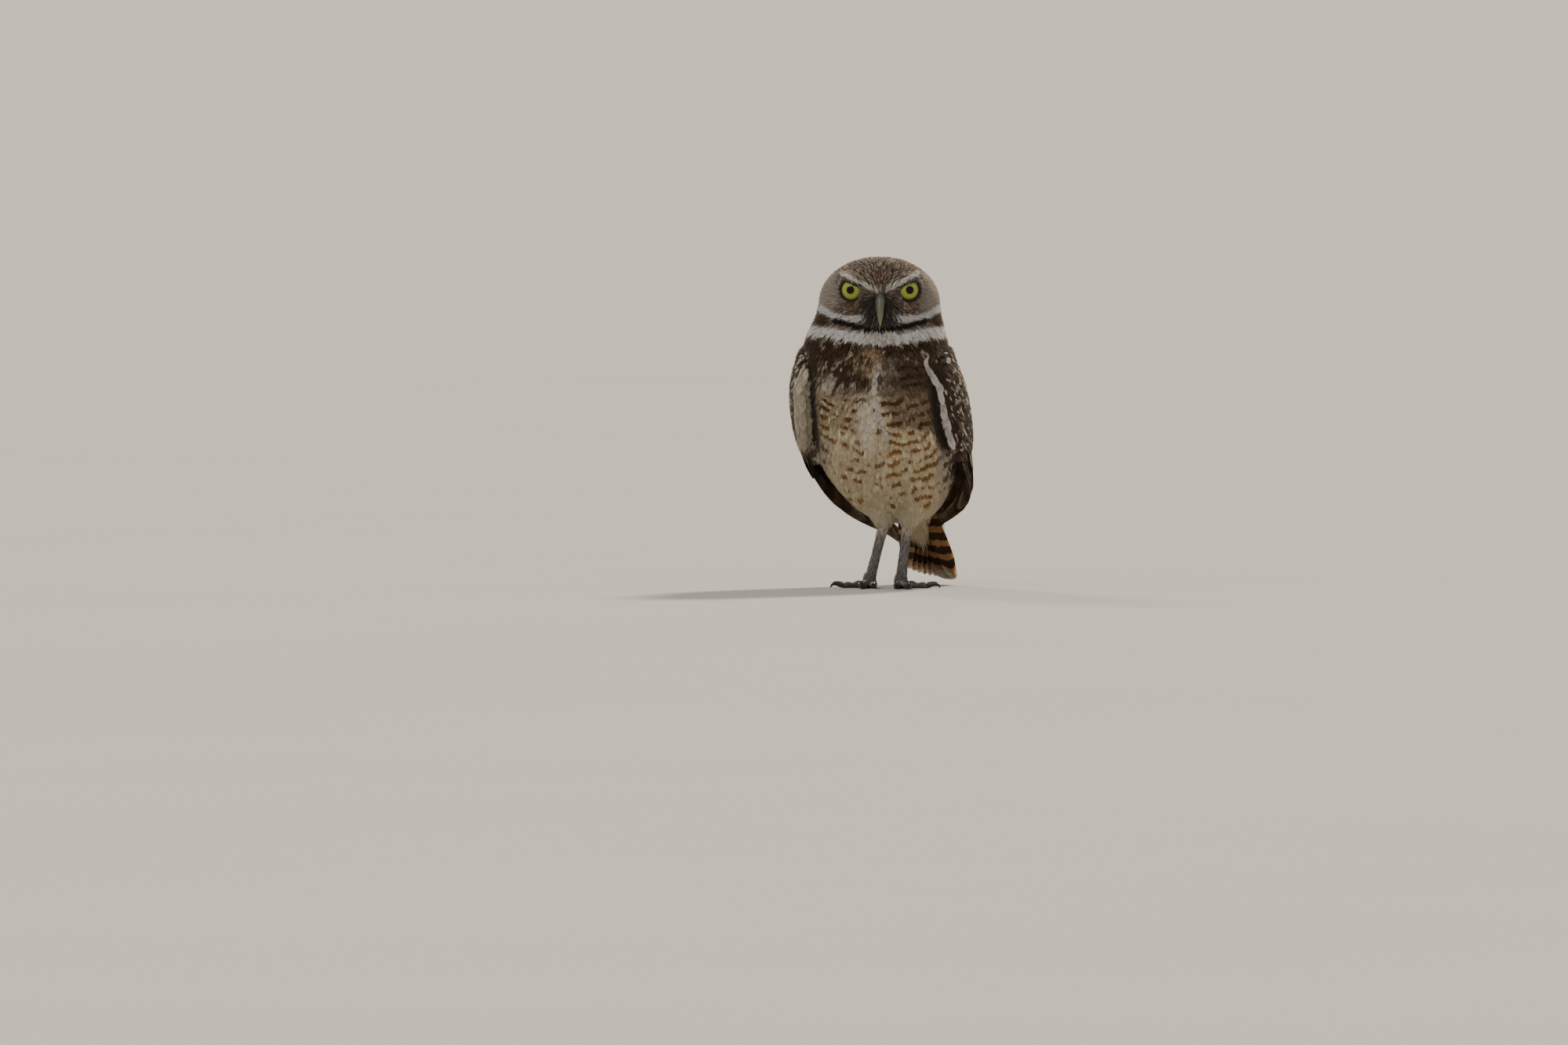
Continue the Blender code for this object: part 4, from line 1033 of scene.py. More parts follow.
def make_skin():
    shells = [body_shell(), tail_stump(), eye_mound(1), eye_mound(-1)]
    shells += [wing_shell(wing) for wing in WINGS.values()]
    for _, hip, heel, _, _ in LEGS.values():
        shells.append(limb(hip, heel, THIGH_SHAPE))
    skin = fused("skin", shells, 1.25, 6)
    points, normals = points_of(skin)
    looks = looks_at(points, normals, np.full(len(points), 0.4))
    bars = smooth(0.05, 0.55, np.cos(2 * math.pi * row_phase(points))) * looks.pattern[:, 0]
    add_colours(skin, "ground", mix(looks.ground, looks.mark, bars[:, None]) * 0.7)
    add_map(skin, "OFBake", body_unwrap(points))
    skin.data.materials.append(skin_material())
    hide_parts("head", "neck", "torso", "thigh_left", "thigh_right")
    return skin


# Coat


def coat_plumes(surface, roots, rng):
    _, normals = surface.nearest(roots)
    length = coat_size(roots, normals, BODY_LENGTH, 6.2, 4.4, 9.5, 13.0) * rng.uniform(0.82, 1.14, len(roots))
    width = coat_size(roots, normals, BODY_WIDTH, 2.3, 1.15, 4.8, 1.9) * rng.uniform(0.85, 1.12, len(roots))
    across = np.abs(roots[:, 0] - FACE_MIDDLE_X)
    brow = smooth(0, 0.5, -normals[:, 1]) * near_line(across, roots[:, 2], BROW_LINE, 2.0)
    inset = 2.2 - 0.8 * smooth(160, 175, roots[:, 2])
    for _, on_wing, edge in wing_places(roots, normals):
        inset = mix(inset, mix(1.7, 1.0, edge), on_wing)
    lift_tip = inset * rng.uniform(0.9, 1.1, len(roots)) + 0.9 * brow
    place, side, out = combed(surface, roots, lie_of_coat, length, np.full(len(roots), -0.3), lift_tip, 5, rng)
    plumes = blank_plumes(place, side, out, width, rng)
    return looks_at(place[:, 2] * 0.6 + place[:, 3] * 0.4, normals, plumes["chance"]).dress(plumes), normals


def make_coat(surface, rng):
    """The small feathers of the head, body and arms of the wings."""
    fine, small = Blade(4, 3, 0.12, fringe=9), Blade(4, 4, 0.14, fringe=14)
    broad = Blade(5, 5, 0.16, fringe=30)
    roots = surface.scattered(coat_spacing, lambda p, n: (p[:, 2] > 38) & clear_of_face_parts(p), rng)
    plumes, normals = coat_plumes(surface, roots, rng)
    wings = {word: on > 0.5 for word, on, _ in wing_places(roots, normals)}
    elsewhere = ~wings["left"] & ~wings["right"]
    front, height = normals[:, 1] < 0.05, roots[:, 2]
    parts = {
        "coat_face": (on_face(roots, normals) > 0.5, fine, "plumage_face"),
        "coat_head": ((on_face(roots, normals) <= 0.5) & (height > 160), small, "plumage_face"),
        "coat_breast": (elsewhere & front & (height <= 160) & (height > 122), broad, "plumage_brown"),
        "coat_belly": (elsewhere & front & (height <= 122), broad, "plumage_pale"),
        "coat_back": (elsewhere & ~front & (height <= 160), broad, "plumage_brown"),
    }
    for name, (where, blade, slot) in parts.items():
        piece = vane_piece(name, [(part_of(plumes, where), blade)], slot, rng, body_unwrap)
        piece.data.materials.append(plumage_material())
    return {word: (part_of(plumes, on), broad) for word, on in wings.items()}


def make_loose_barbs(surface, rng):
    """Fine loose barbs over the coat, which soften the edges of its feathers."""
    def spacing(p, n):
        return by_height(((40, 1.5), (100, 1.4), (150, 1.2), (170, 0.95), (210, 0.95)), p[:, 2])

    roots = surface.scattered(spacing, lambda p, n: (p[:, 2] > 40) & clear_of_face_parts(p), rng)
    _, normals = surface.nearest(roots)
    count = len(roots)
    length = by_height(((40, 7), (100, 8), (150, 6), (170, 4), (210, 4.5)), roots[:, 2]) * rng.uniform(0.7, 1.2, count)
    inset = 2.2 - 0.8 * smooth(160, 175, roots[:, 2])
    for _, on_wing, _ in wing_places(roots, normals):
        length, inset = length * (1 - 0.3 * on_wing), inset - 0.7 * on_wing
    place, side, out = combed(surface, roots, lie_of_coat, length, 0.6 * inset, inset + rng.uniform(0.1, 0.7, count),
                              3, rng, 0.15)
    plumes = blank_plumes(place, side, out, 0.25, rng)
    looks_at(place[:, 1], normals, plumes["chance"]).dress(plumes)
    own = mix(plumes["ground"], plumes["mark"], (0.5 * plumes["pattern"].sum(1) * (rng.random(count) < 0.15))[:, None])
    plumes["ground"], plumes["pattern"], plumes["tip"] = own, plumes["pattern"] * (1, 0, 0), np.zeros(count)
    piece = vane_piece("coat_barbs", [(plumes, Blade(3, 2, 0.0))], "plumage_pale", rng, body_unwrap)
    piece.data.materials.append(plumage_material())


def wing_plumes(wing, roots, tips, width, rng, stations=9):
    """Feathers between places on the wing, each given as height, place across and lift."""
    t = np.linspace(0, 1, stations)[None, :, None]
    line = roots[:, None] + (tips - roots)[:, None] * t
    place = wing.points(line[..., 0], line[..., 1], line[..., 2])
    heading = unit(np.gradient(place, axis=1))
    out = flattened(wing.points(line[..., 0], line[..., 1], line[..., 2] + 1) - place, heading)
    side = np.cross(out, heading) * wing.side
    plumes = blank_plumes(place, side, out, width, rng)
    plumes["roll"] = np.full(len(roots), -0.15)
    return plumes


def row_of(wing, count, root_z, root_across, root_sink, tip_z, tip_across, tip_lift, width, rng, uneven=0.8):
    """A row of feathers from the wing's front edge back. Pairs give the first feather and the last."""
    t = np.linspace(0, 1, count)
    root_z, root_across = mix(*root_z, t), mix(*root_across, t)
    root_lift = np.maximum(wing.pad_lift(root_z, root_across) - root_sink, PAD_FOOT + 0.4)
    tip_z = hermite(np.linspace(0, 1, len(tip_z)), tip_z, t) + rng.uniform(-uneven, uneven, count)
    roots = np.stack([root_z, root_across, root_lift], -1)
    tips = np.stack([tip_z, mix(*tip_across, t), mix(*tip_lift, t)], -1)
    return wing_plumes(wing, roots, tips, mix(*width, t), rng)


def edge_plumes(wing, count, share, width, rng):
    """A close column of feathers that face ahead, down the front edge of the wing or beside it on its panel."""
    t = np.linspace(0, 1, 7)[None]
    root = np.linspace(wing.edge_top_z, EDGE_END_Z + EDGE_LENGTH, count) + rng.uniform(-0.8, 0.8, count)
    z = root[:, None] - (EDGE_LENGTH * rng.uniform(0.85, 1.1, count))[:, None] * t
    across = wing.panel_width(z) * share - wing.bend * smooth(126, 149, z)
    across = across + rng.uniform(-0.005, 0.005, count)[:, None] + rng.uniform(-0.014, 0.014, count)[:, None] * t
    corner = (1 - share) * EDGE_BELOW_CORNER
    lift = np.maximum(wing.pad_lift(z, across) - corner, 0.4)
    place = wing.points(z, across, lift)
    outward = unit(wing.points(z, across, lift + 1) - place)
    ahead = unit(wing.points(z, across - 0.05, lift) - place)
    heading = unit(np.gradient(place, axis=1))
    out = flattened(unit(mix(0.8, 0.1, share) * ahead + mix(0.6, 1.0, share) * outward), heading)
    sunk = 3.4 * smooth(wing.edge_top_z - 5, wing.edge_top_z - 1, z) - 0.6 * smooth(132, 144, z)
    place = place + out * (mix(1.6, 0.5, share) + 0.7 * t - sunk)[..., None]
    narrow = mix(0.55, 1.0, smooth(wing.edge_top_z + 1, wing.edge_top_z - 12, root)) * rng.uniform(0.75, 1.15, count)
    return blank_plumes(place, np.cross(out, heading), out, width * narrow, rng)


def paint_row(plumes, **looks):
    painted = Looks(len(plumes["place"]))
    painted.paint(np.ones(len(plumes["place"])), **looks)
    return painted.dress(plumes)


def make_wing(word, small_feathers, rng):
    wing = WINGS[word]
    flight = Blade(13, 9, 0.10, root_width=0.5, thick=True, lean=-0.18)
    covert = Blade(9, 7, 0.14, root_width=0.5, thick=True)
    small = Blade(6, 5, 0.15, fringe=26)
    groups = [small_feathers]
    dark, mark = (0.082, 0.050, 0.029), (0.26, 0.185, 0.11)
    brown = (0.052, 0.032, 0.019)

    def spotted(count):
        outer = np.linspace(0, 1, count) < 0.7
        return np.stack([np.zeros(count), (rng.random(count) < 0.6) * outer * 0.9, np.zeros(count)], -1)

    primaries = row_of(wing, 10, (104, 92), (0.05, 0.36), 1.5, np.array(PRIMARY_TIPS) - 3.0, (0.18, 0.86), (1.6, 3.6), (10.5, 13), rng)
    groups.append((paint_row(primaries, ground=(0.135, 0.088, 0.052), mark=(0.26, 0.185, 0.11), pattern=(0.8, 0, 0), bars=6.0, tip=0.45), flight))
    secondaries = row_of(wing, 11, (101, 112), (0.30, 0.78), 1.5, (50, 54, 65), (0.27, 0.93), (4.4, 5.2), (12, 14), rng)
    groups.append((paint_row(secondaries, ground=dark, mark=mark, pattern=(0.85, 0, 0), bars=5.0, tip=0.6), flight))
    tertials = row_of(wing, 4, (106, 114), (0.78, 0.86), 2.8, (62, 70, 80), (0.90, 0.97), (6.0, 6.4), (13, 13), rng)
    groups.append((paint_row(tertials, ground=BROWN, mark=(0.25, 0.18, 0.11), pattern=(0.8, 0, 0), bars=4.0, tip=0.3), flight))
    greater = row_of(wing, 12, (106, 114), (0.20, 0.78), 1.3, (71, 79, 93), (0.17, 0.95), (6.6, 6.2), (10.5, 12), rng)
    groups.append((paint_row(greater, ground=brown, mark=(0.36, 0.28, 0.19), pattern=spotted(12), bars=1.8,
                             tip=0.2), covert))
    hand = row_of(wing, 7, (108, 104), (0.05, 0.22), 1.2, (74, 76, 80), (0.06, 0.28), (4.2, 4.8), (8, 9.5), rng)
    groups.append((paint_row(hand, ground=dark, mark=mark, pattern=(0.7, 0, 0), bars=3.0, tip=0.3), covert))
    thumb = row_of(wing, 4, (124, 121), (0.06, 0.14), 1.0, (90, 96, 104), (0.035, 0.15), (5.4, 6.0), (7.5, 8), rng)
    groups.append((paint_row(thumb, ground=dark, mark=WHITE, pattern=(0.6, 0, 0), bars=3.0, tip=0.6), covert))
    soft = Blade(6, 5, 0.2, root_width=0.35, fringe=34)
    for share in wing.edge_columns:
        edge = edge_plumes(wing, 19, share, wing.edge_width, rng)
        paint_row(edge, ground=wing.edge_colour)
        edge["ground"] = edge["ground"] * rng.uniform(0.72, 1.14, (19, 1))
        groups.append((edge, soft))
    for root_z, tip_z, lift in ((108, 87, 6.0), (113, 92, 7.2), (118, 98, 8.2), (124, 104, 9.0)):
        count = 17
        middle = row_of(wing, count, (root_z - 4, root_z + 6), (0.12, 0.84), 1.6, (tip_z - 7, tip_z - 1, tip_z + 5), (0.10, 0.94),
                        (lift, lift - 2.4), (7.0, 8.0), rng, 3.0)
        groups.append((paint_row(middle, ground=brown, mark=(0.47, 0.40, 0.31), pattern=spotted(count), bars=1.8,
                                 tip=0.3), small))

    def unwrap(points):
        return np.stack([wing.across(points) * 0.7 + 0.15, points[:, 2] / CROWN_Z], -1)

    piece = vane_piece("coat_wing_" + word, groups, "plumage_brown", rng, unwrap)
    piece.data.materials.append(plumage_material())
    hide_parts("wing_" + word)


def tail_plumes(outward, lift, length, width, fan, bend, rng, start=-4.0, stations=9):
    """Feathers fanned out from the root of the tail, from its right edge, -1, to its left edge, 1."""
    ahead, across, up = tail_axes()
    spread = TAIL_FAN * fan * outward[:, None]
    heading = ahead * np.cos(spread) + across * np.sin(spread)
    sideways = across * np.cos(spread) - ahead * np.sin(spread)
    root = TAIL_ROOT + across * (TAIL_ROOT_SPREAD * fan * outward[:, None]) + up * lift[:, None]
    t = np.linspace(0, 1, stations)[None, :, None]
    along = length[:, None, None] * t + start
    place = root[:, None] + heading[:, None] * along + up * (bend * np.sin(math.pi * t))
    side = np.repeat(sideways[:, None], stations, 1)
    out = np.broadcast_to(up, place.shape)
    flip = np.where(outward < 0, -1.0, 1.0)[:, None, None]
    plumes = blank_plumes(place, side * flip, out.copy(), width, rng)
    plumes["roll"] = np.full(len(outward), 0.10)
    return plumes


def make_tail(rng):
    length = np.linalg.norm(TAIL_TIP - TAIL_ROOT)
    pair = np.repeat(np.arange(TAIL_PAIRS), 2)
    side = np.tile((1, -1), TAIL_PAIRS)
    outward = (pair + 0.5) / (TAIL_PAIRS - 0.5) * side
    rectrices = tail_plumes(outward, 1.6 - 1.0 * pair, (length + 7) * (1 - 0.07 * outward**2), 13.0, 1.0, 1.2, rng)
    paint_row(rectrices, ground=(0.075, 0.038, 0.017), mark=(0.50, 0.285, 0.12), pattern=(1, 0, 0), bars=6.2, tip=1.0)
    groups = [(rectrices, Blade(15, 9, 0.08, root_width=0.6, thick=True))]
    soft = Blade(7, 5, 0.16, fringe=34)
    for lift, share, fan, count in ((3.8, 0.50, 1.0, 9), (4.8, 0.36, 1.0, 8), (5.6, 0.24, 1.0, 7)):
        row = np.linspace(-1, 1, count)
        plumes = tail_plumes(row, lift - 0.9 * np.abs(row), length * share * (1 - 0.12 * np.abs(row)) + 4, 11.0, fan, 1.5, rng)
        paint_row(plumes, ground=(0.095, 0.062, 0.038), mark=(0.42, 0.33, 0.22), pattern=(0.7, 0, 0), bars=2.4, tip=0.5)
        groups.append((plumes, soft))
    for lift, share, fan, count in ((-6.0, 0.66, 0.5, 6), (-6.9, 0.58, 0.7, 7), (-7.6, 0.46, 0.8, 8), (-8.2, 0.32, 0.9, 7)):
        row = np.linspace(-1.1, 0.5, count)
        long = length * share * (1 - 0.12 * np.abs(row + 0.3)) * rng.uniform(0.88, 1.04, count) + 4
        plumes = tail_plumes(row, lift + 0.8 * np.abs(row), long, 9.5, fan, -1.5, rng)
        plumes["camber"] = -plumes["camber"]
        paint_row(plumes, ground=(0.44, 0.36, 0.24), mark=CREAM, pattern=(0, 0, 0), tip=0.2)
        groups.append((plumes, soft))
    ahead, across, _ = tail_axes()

    def unwrap(points):
        away = points - TAIL_ROOT
        return np.stack([0.5 + away @ across / 60, 0.3 + away @ ahead / 120 + away @ tail_axes()[2] / 90], -1)

    piece = vane_piece("coat_tail", groups, "plumage_brown", rng, unwrap)
    piece.data.materials.append(plumage_material())
    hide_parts("tail")


def make_bristles(surface, rng):
    """Thin bristles that fan out from the base of the bill."""
    def inside(p, n):
        across = np.abs(p[:, 0] - FACE_MIDDLE_X)
        near = ((across / 9.0) ** 2 + ((p[:, 2] - 180) / 9.0) ** 2 < 1) & (p[:, 1] < -18) & (p[:, 2] < 187)
        return near & ~((across < 2.2) & (np.abs(p[:, 2] - 180) < 5))

    roots = surface.scattered(lambda p, n: np.full(len(p), 0.72), inside, rng)
    length = rng.uniform(4.5, 8.5, len(roots))
    lift = rng.uniform(1.2, 4.4, len(roots))

    def lie(points, normals):
        way = unit(points - BILL_ROOT - np.array((0, 0, 2.0)))
        return unit(way + np.array((0, -0.2, -0.45)))

    place, side, out = combed(surface, roots, lie, length, np.full(len(roots), -0.2), lift, 5, rng, 0.2)
    plumes = blank_plumes(place, side, out, 0.45, rng)
    dark = plumes["chance"] < 0.82
    ground = np.where(dark[:, None], np.array((0.045, 0.038, 0.033)), np.array((0.17, 0.14, 0.115)))
    plumes["ground"] = ground
    piece = vane_piece("bristles_bill", [(plumes, Blade(5, 2, 0.0))], "plumage_face", rng, body_unwrap)
    piece.data.materials.append(plumage_material())


# Eyes and lids


def polar_points(side, polar, around, radius):
    """Points about an eye by the angle from its axis and the angle round it, 0 away from the bill."""
    axis = eye_axis(side)
    across = unit(np.array((-axis[1], axis[0], 0.0))) * side
    out = across * np.cos(around)[..., None] + UP * np.sin(around)[..., None]
    way = axis * np.cos(polar)[..., None] + out * np.sin(polar)[..., None]
    return eye_centre(side) + way * np.asarray(radius)[..., None]


def make_eye(word, side):
    rows, columns = 56, 72
    polar = np.linspace(0.012, 0.985, rows)[:, None] * math.pi
    around = np.linspace(0, 2 * math.pi, columns, endpoint=False)[None]
    polar, around = np.broadcast_arrays(polar, around)
    bulge = 0.55 * (1 - smooth(0.0, math.radians(IRIS_REACH + 4), polar))
    points, triangles = closed_tube(polar_points(side, polar, around, EYE_RADIUS - 0.25 + bulge))
    eye = new_piece("eyeball_" + word, points, triangles, "eye")
    gaze = np.stack([polar / math.pi, 0.5 + 0.5 * np.cos(around), 0.5 + 0.5 * np.sin(around)], -1).reshape(-1, 3)
    gaze = np.concatenate([gaze, [(0, 0.5, 0.5), (1, 0.5, 0.5)]])
    add_colours(eye, "gaze", gaze)
    add_map(eye, "OFBake", np.stack([0.5 + gaze[:, 0] * (gaze[:, 1] * 2 - 1) / 2.2,
                                     0.5 + gaze[:, 0] * (gaze[:, 2] * 2 - 1) / 2.2], -1))
    eye.data.materials.append(eye_material())
    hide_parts("eye_" + word)


def make_lids(word, side):
    """A dark rim of bare skin round the eye, with the upper lid drawn down towards the bill."""
    columns = 72
    around = np.linspace(0, 2 * math.pi, columns, endpoint=False)
    opening = lid_opening(around)
    brow = 0.5 * np.maximum(np.cos(around - (math.pi / 2 + LID_SLANT)), 0)
    edge = ((0.0, -0.10), (0.6, 0.30), (2.0, 0.62), (5.0, 0.85), (9.0, 0.95))
    behind = ((0.2, 0.7), (0.6, -0.2), (1.0, -1.2))
    rings = []
    for extra, height in edge:
        wrinkle = 0.07 * np.sin(around * 11 + extra) * (extra > 2)
        rings.append(polar_points(side, np.radians(opening + extra), around,
                                  EYE_RADIUS + height + wrinkle + brow * smooth(0, 5, extra)))
    for share, height in behind:
        rings.append(polar_points(side, np.radians(mix(opening + 9, 76, share)), around, EYE_RADIUS + height + brow))
    rings.append(polar_points(side, np.radians(opening + 4), around, np.full(columns, EYE_RADIUS - 0.6)))
    rings = np.stack(rings + rings[:1])
    count = len(rings)
    points = rings.reshape(-1, 3)
    lids = new_piece("lids_" + word, points, tube_faces(count, columns), "plumage_face")
    add_map(lids, "OFBake", np.stack(np.meshgrid(np.linspace(0, 1, count), np.linspace(0, 1, columns), indexing="ij"),
                                     -1).reshape(-1, 2))
    lids.data.materials.append(lid_material())


# Bill

BILL_SLIMMED = 0.86


def bill_piece(name, stations, count=44, sides=36):
    stations = np.array(stations, float)
    knots = np.linspace(0, 1, len(stations))
    t = np.linspace(0, 1, count)
    y, z, wide, high = (hermite(knots, stations[:, k], t) for k in range(4))
    wide = wide * BILL_SLIMMED
    path = np.stack([np.full(count, FACE_MIDDLE_X), y, z], -1)
    ahead = unit(np.gradient(path, axis=0))
    up = np.cross(np.array((1.0, 0, 0)), ahead)
    a = np.linspace(0, 2 * math.pi, sides, endpoint=False)
    ridge = 1 + 0.10 * np.maximum(np.sin(a), 0) ** 6
    flat = np.abs(np.cos(a)) ** 1.15 * np.sign(np.cos(a))
    rings = (path[:, None] + np.array((1.0, 0, 0)) * (flat[None, :, None] * wide[:, None, None])
             + up[:, None] * ((np.sin(a) * ridge)[None, :, None] * high[:, None, None]))
    return rings, t


def make_bill():
    for name, stations, node in (("bill_top", BILL_UPPER, "bill_upper"), ("bill_under", BILL_LOWER, "bill_lower")):
        rings, t = bill_piece(name, stations)
        shade = np.repeat(t, rings.shape[1])
        cere_and_nostril_shade = np.zeros(rings.shape[:2])
        if node == "bill_upper":
            cere_and_nostril_shade = (1 - smooth(0.23, 0.31, t))[:, None] * np.ones(rings.shape[1])
            centre = rings.mean(1, keepdims=True)
            rings = rings + unit(rings - centre) * (0.3 * cere_and_nostril_shade)[..., None]
            for side in (1, -1):
                hole = np.array((FACE_MIDDLE_X + side * NOSTRIL_SPREAD, NOSTRIL_Y, NOSTRIL_Z))
                near = np.linalg.norm(rings - hole, axis=-1)
                dent = np.exp(-((near / 0.75) ** 2))
                rim = np.exp(-(((near - 1.3) / 0.4) ** 2))
                rings = rings + unit(rings - centre) * (0.2 * rim - 1.1 * dent)[..., None]
                # Painted shade: the nostril dents are marked near black, for the dark inside the holes.
                cere_and_nostril_shade = cere_and_nostril_shade + 2.0 * dent
        points, triangles = closed_tube(rings)
        piece = new_piece(name, points, triangles, "horn")
        shade = np.concatenate([shade, [0, 1]])
        looks = np.stack([shade, np.concatenate([cere_and_nostril_shade.ravel(), [1, 0]]), np.zeros(len(shade))], -1)
        add_colours(piece, "horn_shade", looks)
        add_map(piece, "OFBake", np.stack([shade, np.concatenate([np.tile(np.linspace(0, 1, rings.shape[1]), rings.shape[0]),
                                                                  [0, 1]])], -1))
        piece.data.materials.append(bill_material())
        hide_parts(node)


# Legs


def toe_line(side, foot, toe, count):
    turn, length, radius = TOES[toe]
    way = math.radians(turn) * side
    ahead = np.array((math.sin(way), -math.cos(way), 0.0))
    t = np.linspace(0, 1, count)
    size = radius * (1 - 0.32 * t) * (1 + 0.13 * np.cos(2 * math.pi * 2.5 * t))
    lift = 2.2 * (1 - smooth(0.0, 0.35, t))
    start = np.array((foot[0], foot[1], 0.0))
    path = start + ahead * (length * t)[:, None] + UP * (size * 0.86 + lift)[:, None]
    return path, size, ahead, start + ahead * (length + 0.35), radius


def make_leg(word, rng):
    side, _, heel, ankle, foot = LEGS[word]
    top = np.array(ankle, float) + np.array((0.6 * side * 0, -0.4, 4.0))
    bottom = np.array((foot[0], foot[1], SOLE_TOP_Z - 4.0))
    a = np.linspace(0, 2 * math.pi, 24, endpoint=False)
    hub = [np.stack([foot[0] + w * np.cos(a), foot[1] + w * np.sin(a), np.full(24, z)], -1)
           for z, w in ((0.1, 3.2), (1.2, 4.3), (3.2, 4.7), (5.4, 4.4), (7.6, 3.8), (9.5, 3.0))]
    shells = [limb(top, bottom, TARSUS_SHAPE), closed_tube(hub)]
    for toe in TOES:
        path, size, ahead, _, _ = toe_line(side, foot, toe, 40)
        scutes = 1 + 0.035 * np.abs(np.sin(np.linspace(0, 1, 40) * math.pi * 9))
        rings = rings_along(path, size * scutes, size * scutes, 20, last=ahead)
        rings[..., 2] = np.maximum(rings[..., 2], 0.1)
        shells.append(closed_tube(rings))
    leg = fused("leg_" + word, shells, 0.42, 3)
    points, _ = points_of(leg)
    dark = 1 - smooth(8, 26, points[:, 2])
    add_colours(leg, "ground", mix(np.array((0.185, 0.168, 0.155)), np.array((0.060, 0.049, 0.042)), dark[:, None]))
    add_map(leg, "OFBake", np.stack([np.arctan2(points[:, 1] - foot[1], points[:, 0] - foot[0]) / (2 * math.pi) + 0.5,
                                     points[:, 2] / 50], -1))
    leg.data.materials.append(leg_material())
    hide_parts("tarsus_" + word, "foot_" + word)
    make_leg_feathers(word, Surface(leg), foot, rng)
    for toe in TOES:
        make_claw(word, side, foot, toe)


def make_leg_feathers(word, surface, foot, rng):
    """Short hair-like feathers down the leg, sparse on the toes."""
    def spacing(p, n):
        return by_height(((4, 2.6), (9, 1.3), (14, 0.8), (45, 0.75)), p[:, 2])

    roots = surface.scattered(spacing, lambda p, n: (p[:, 2] > 3.0) & (n[:, 2] > -0.6), rng)
    z = roots[:, 2]
    length = by_height(((4, 1.8), (10, 3.0), (25, 4.4), (45, 6.0)), z) * rng.uniform(0.8, 1.2, len(z))

    def lie(points, normals):
        outward = unit(points - np.array((foot[0], foot[1], 6.0)))
        on_toe = (1 - smooth(6, 10, points[:, 2]))[:, None]
        return unit(mix(np.broadcast_to(-UP, points.shape), outward * np.array((1, 1, 0)), on_toe))

    place, side, out = combed(surface, roots, lie, length, np.full(len(z), -0.1), 0.15 + 0.07 * length, 4, rng, 0.2)
    width = by_height(((4, 0.3), (12, 0.45), (30, 0.6), (45, 1.0)), z)
    plumes = blank_plumes(place, side, out, width, rng)
    grey = mix(np.array((0.17, 0.157, 0.148)), np.array((0.25, 0.233, 0.220)), plumes["chance"][:, None])
    cream = smooth(33, 42, z)[:, None]
    plumes["ground"] = mix(grey, np.array((0.50, 0.43, 0.32)), cream)
    piece = vane_piece("leg_feathers_" + word, [(plumes, Blade(4, 3, 0.05))], "plumage_pale", rng,
                       lambda p: np.stack([np.arctan2(p[:, 1] - foot[1], p[:, 0] - foot[0]) / (2 * math.pi) + 0.5,
                                           p[:, 2] / 55], -1))
    piece.data.materials.append(plumage_material())


def make_claw(word, side, foot, toe):
    _, _, ahead, base, radius = toe_line(side, foot, toe, 8)
    radius = radius * 0.62
    t = np.linspace(0, 1, 22)
    height = radius * 0.98 + 0.6
    rise = height + 1.6 * np.sin(t * math.pi * 0.75) - (height + 0.75) * t**2.2
    reach = CLAW_REACH * np.sin(t * CLAW_BEND) / math.sin(CLAW_BEND)
    path = base + ahead * reach[:, None] + UP * rise[:, None]
    path[0] -= ahead * 0.8
    size = radius * (1 - t) ** 0.75 + 0.2
    rings = rings_along(path, size * 0.92, size * 1.1, 18, first=ahead)
    rings[..., 2] = np.maximum(rings[..., 2], 0.02)
    points, triangles = closed_tube(rings)
    piece = new_piece(f"talon_{toe}_{word}", points, triangles, "claw")
    shade = np.concatenate([np.repeat(t, 18), [0, 1]])
    add_colours(piece, "horn_shade", np.stack([shade, shade * 0, shade * 0], -1))
    add_map(piece, "OFBake", np.stack([shade, np.concatenate([np.tile(np.linspace(0, 1, 18), 22), [0, 1]])], -1))
    piece.data.materials.append(claw_material())
    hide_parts(f"claw_{toe}_{word}")


# Materials


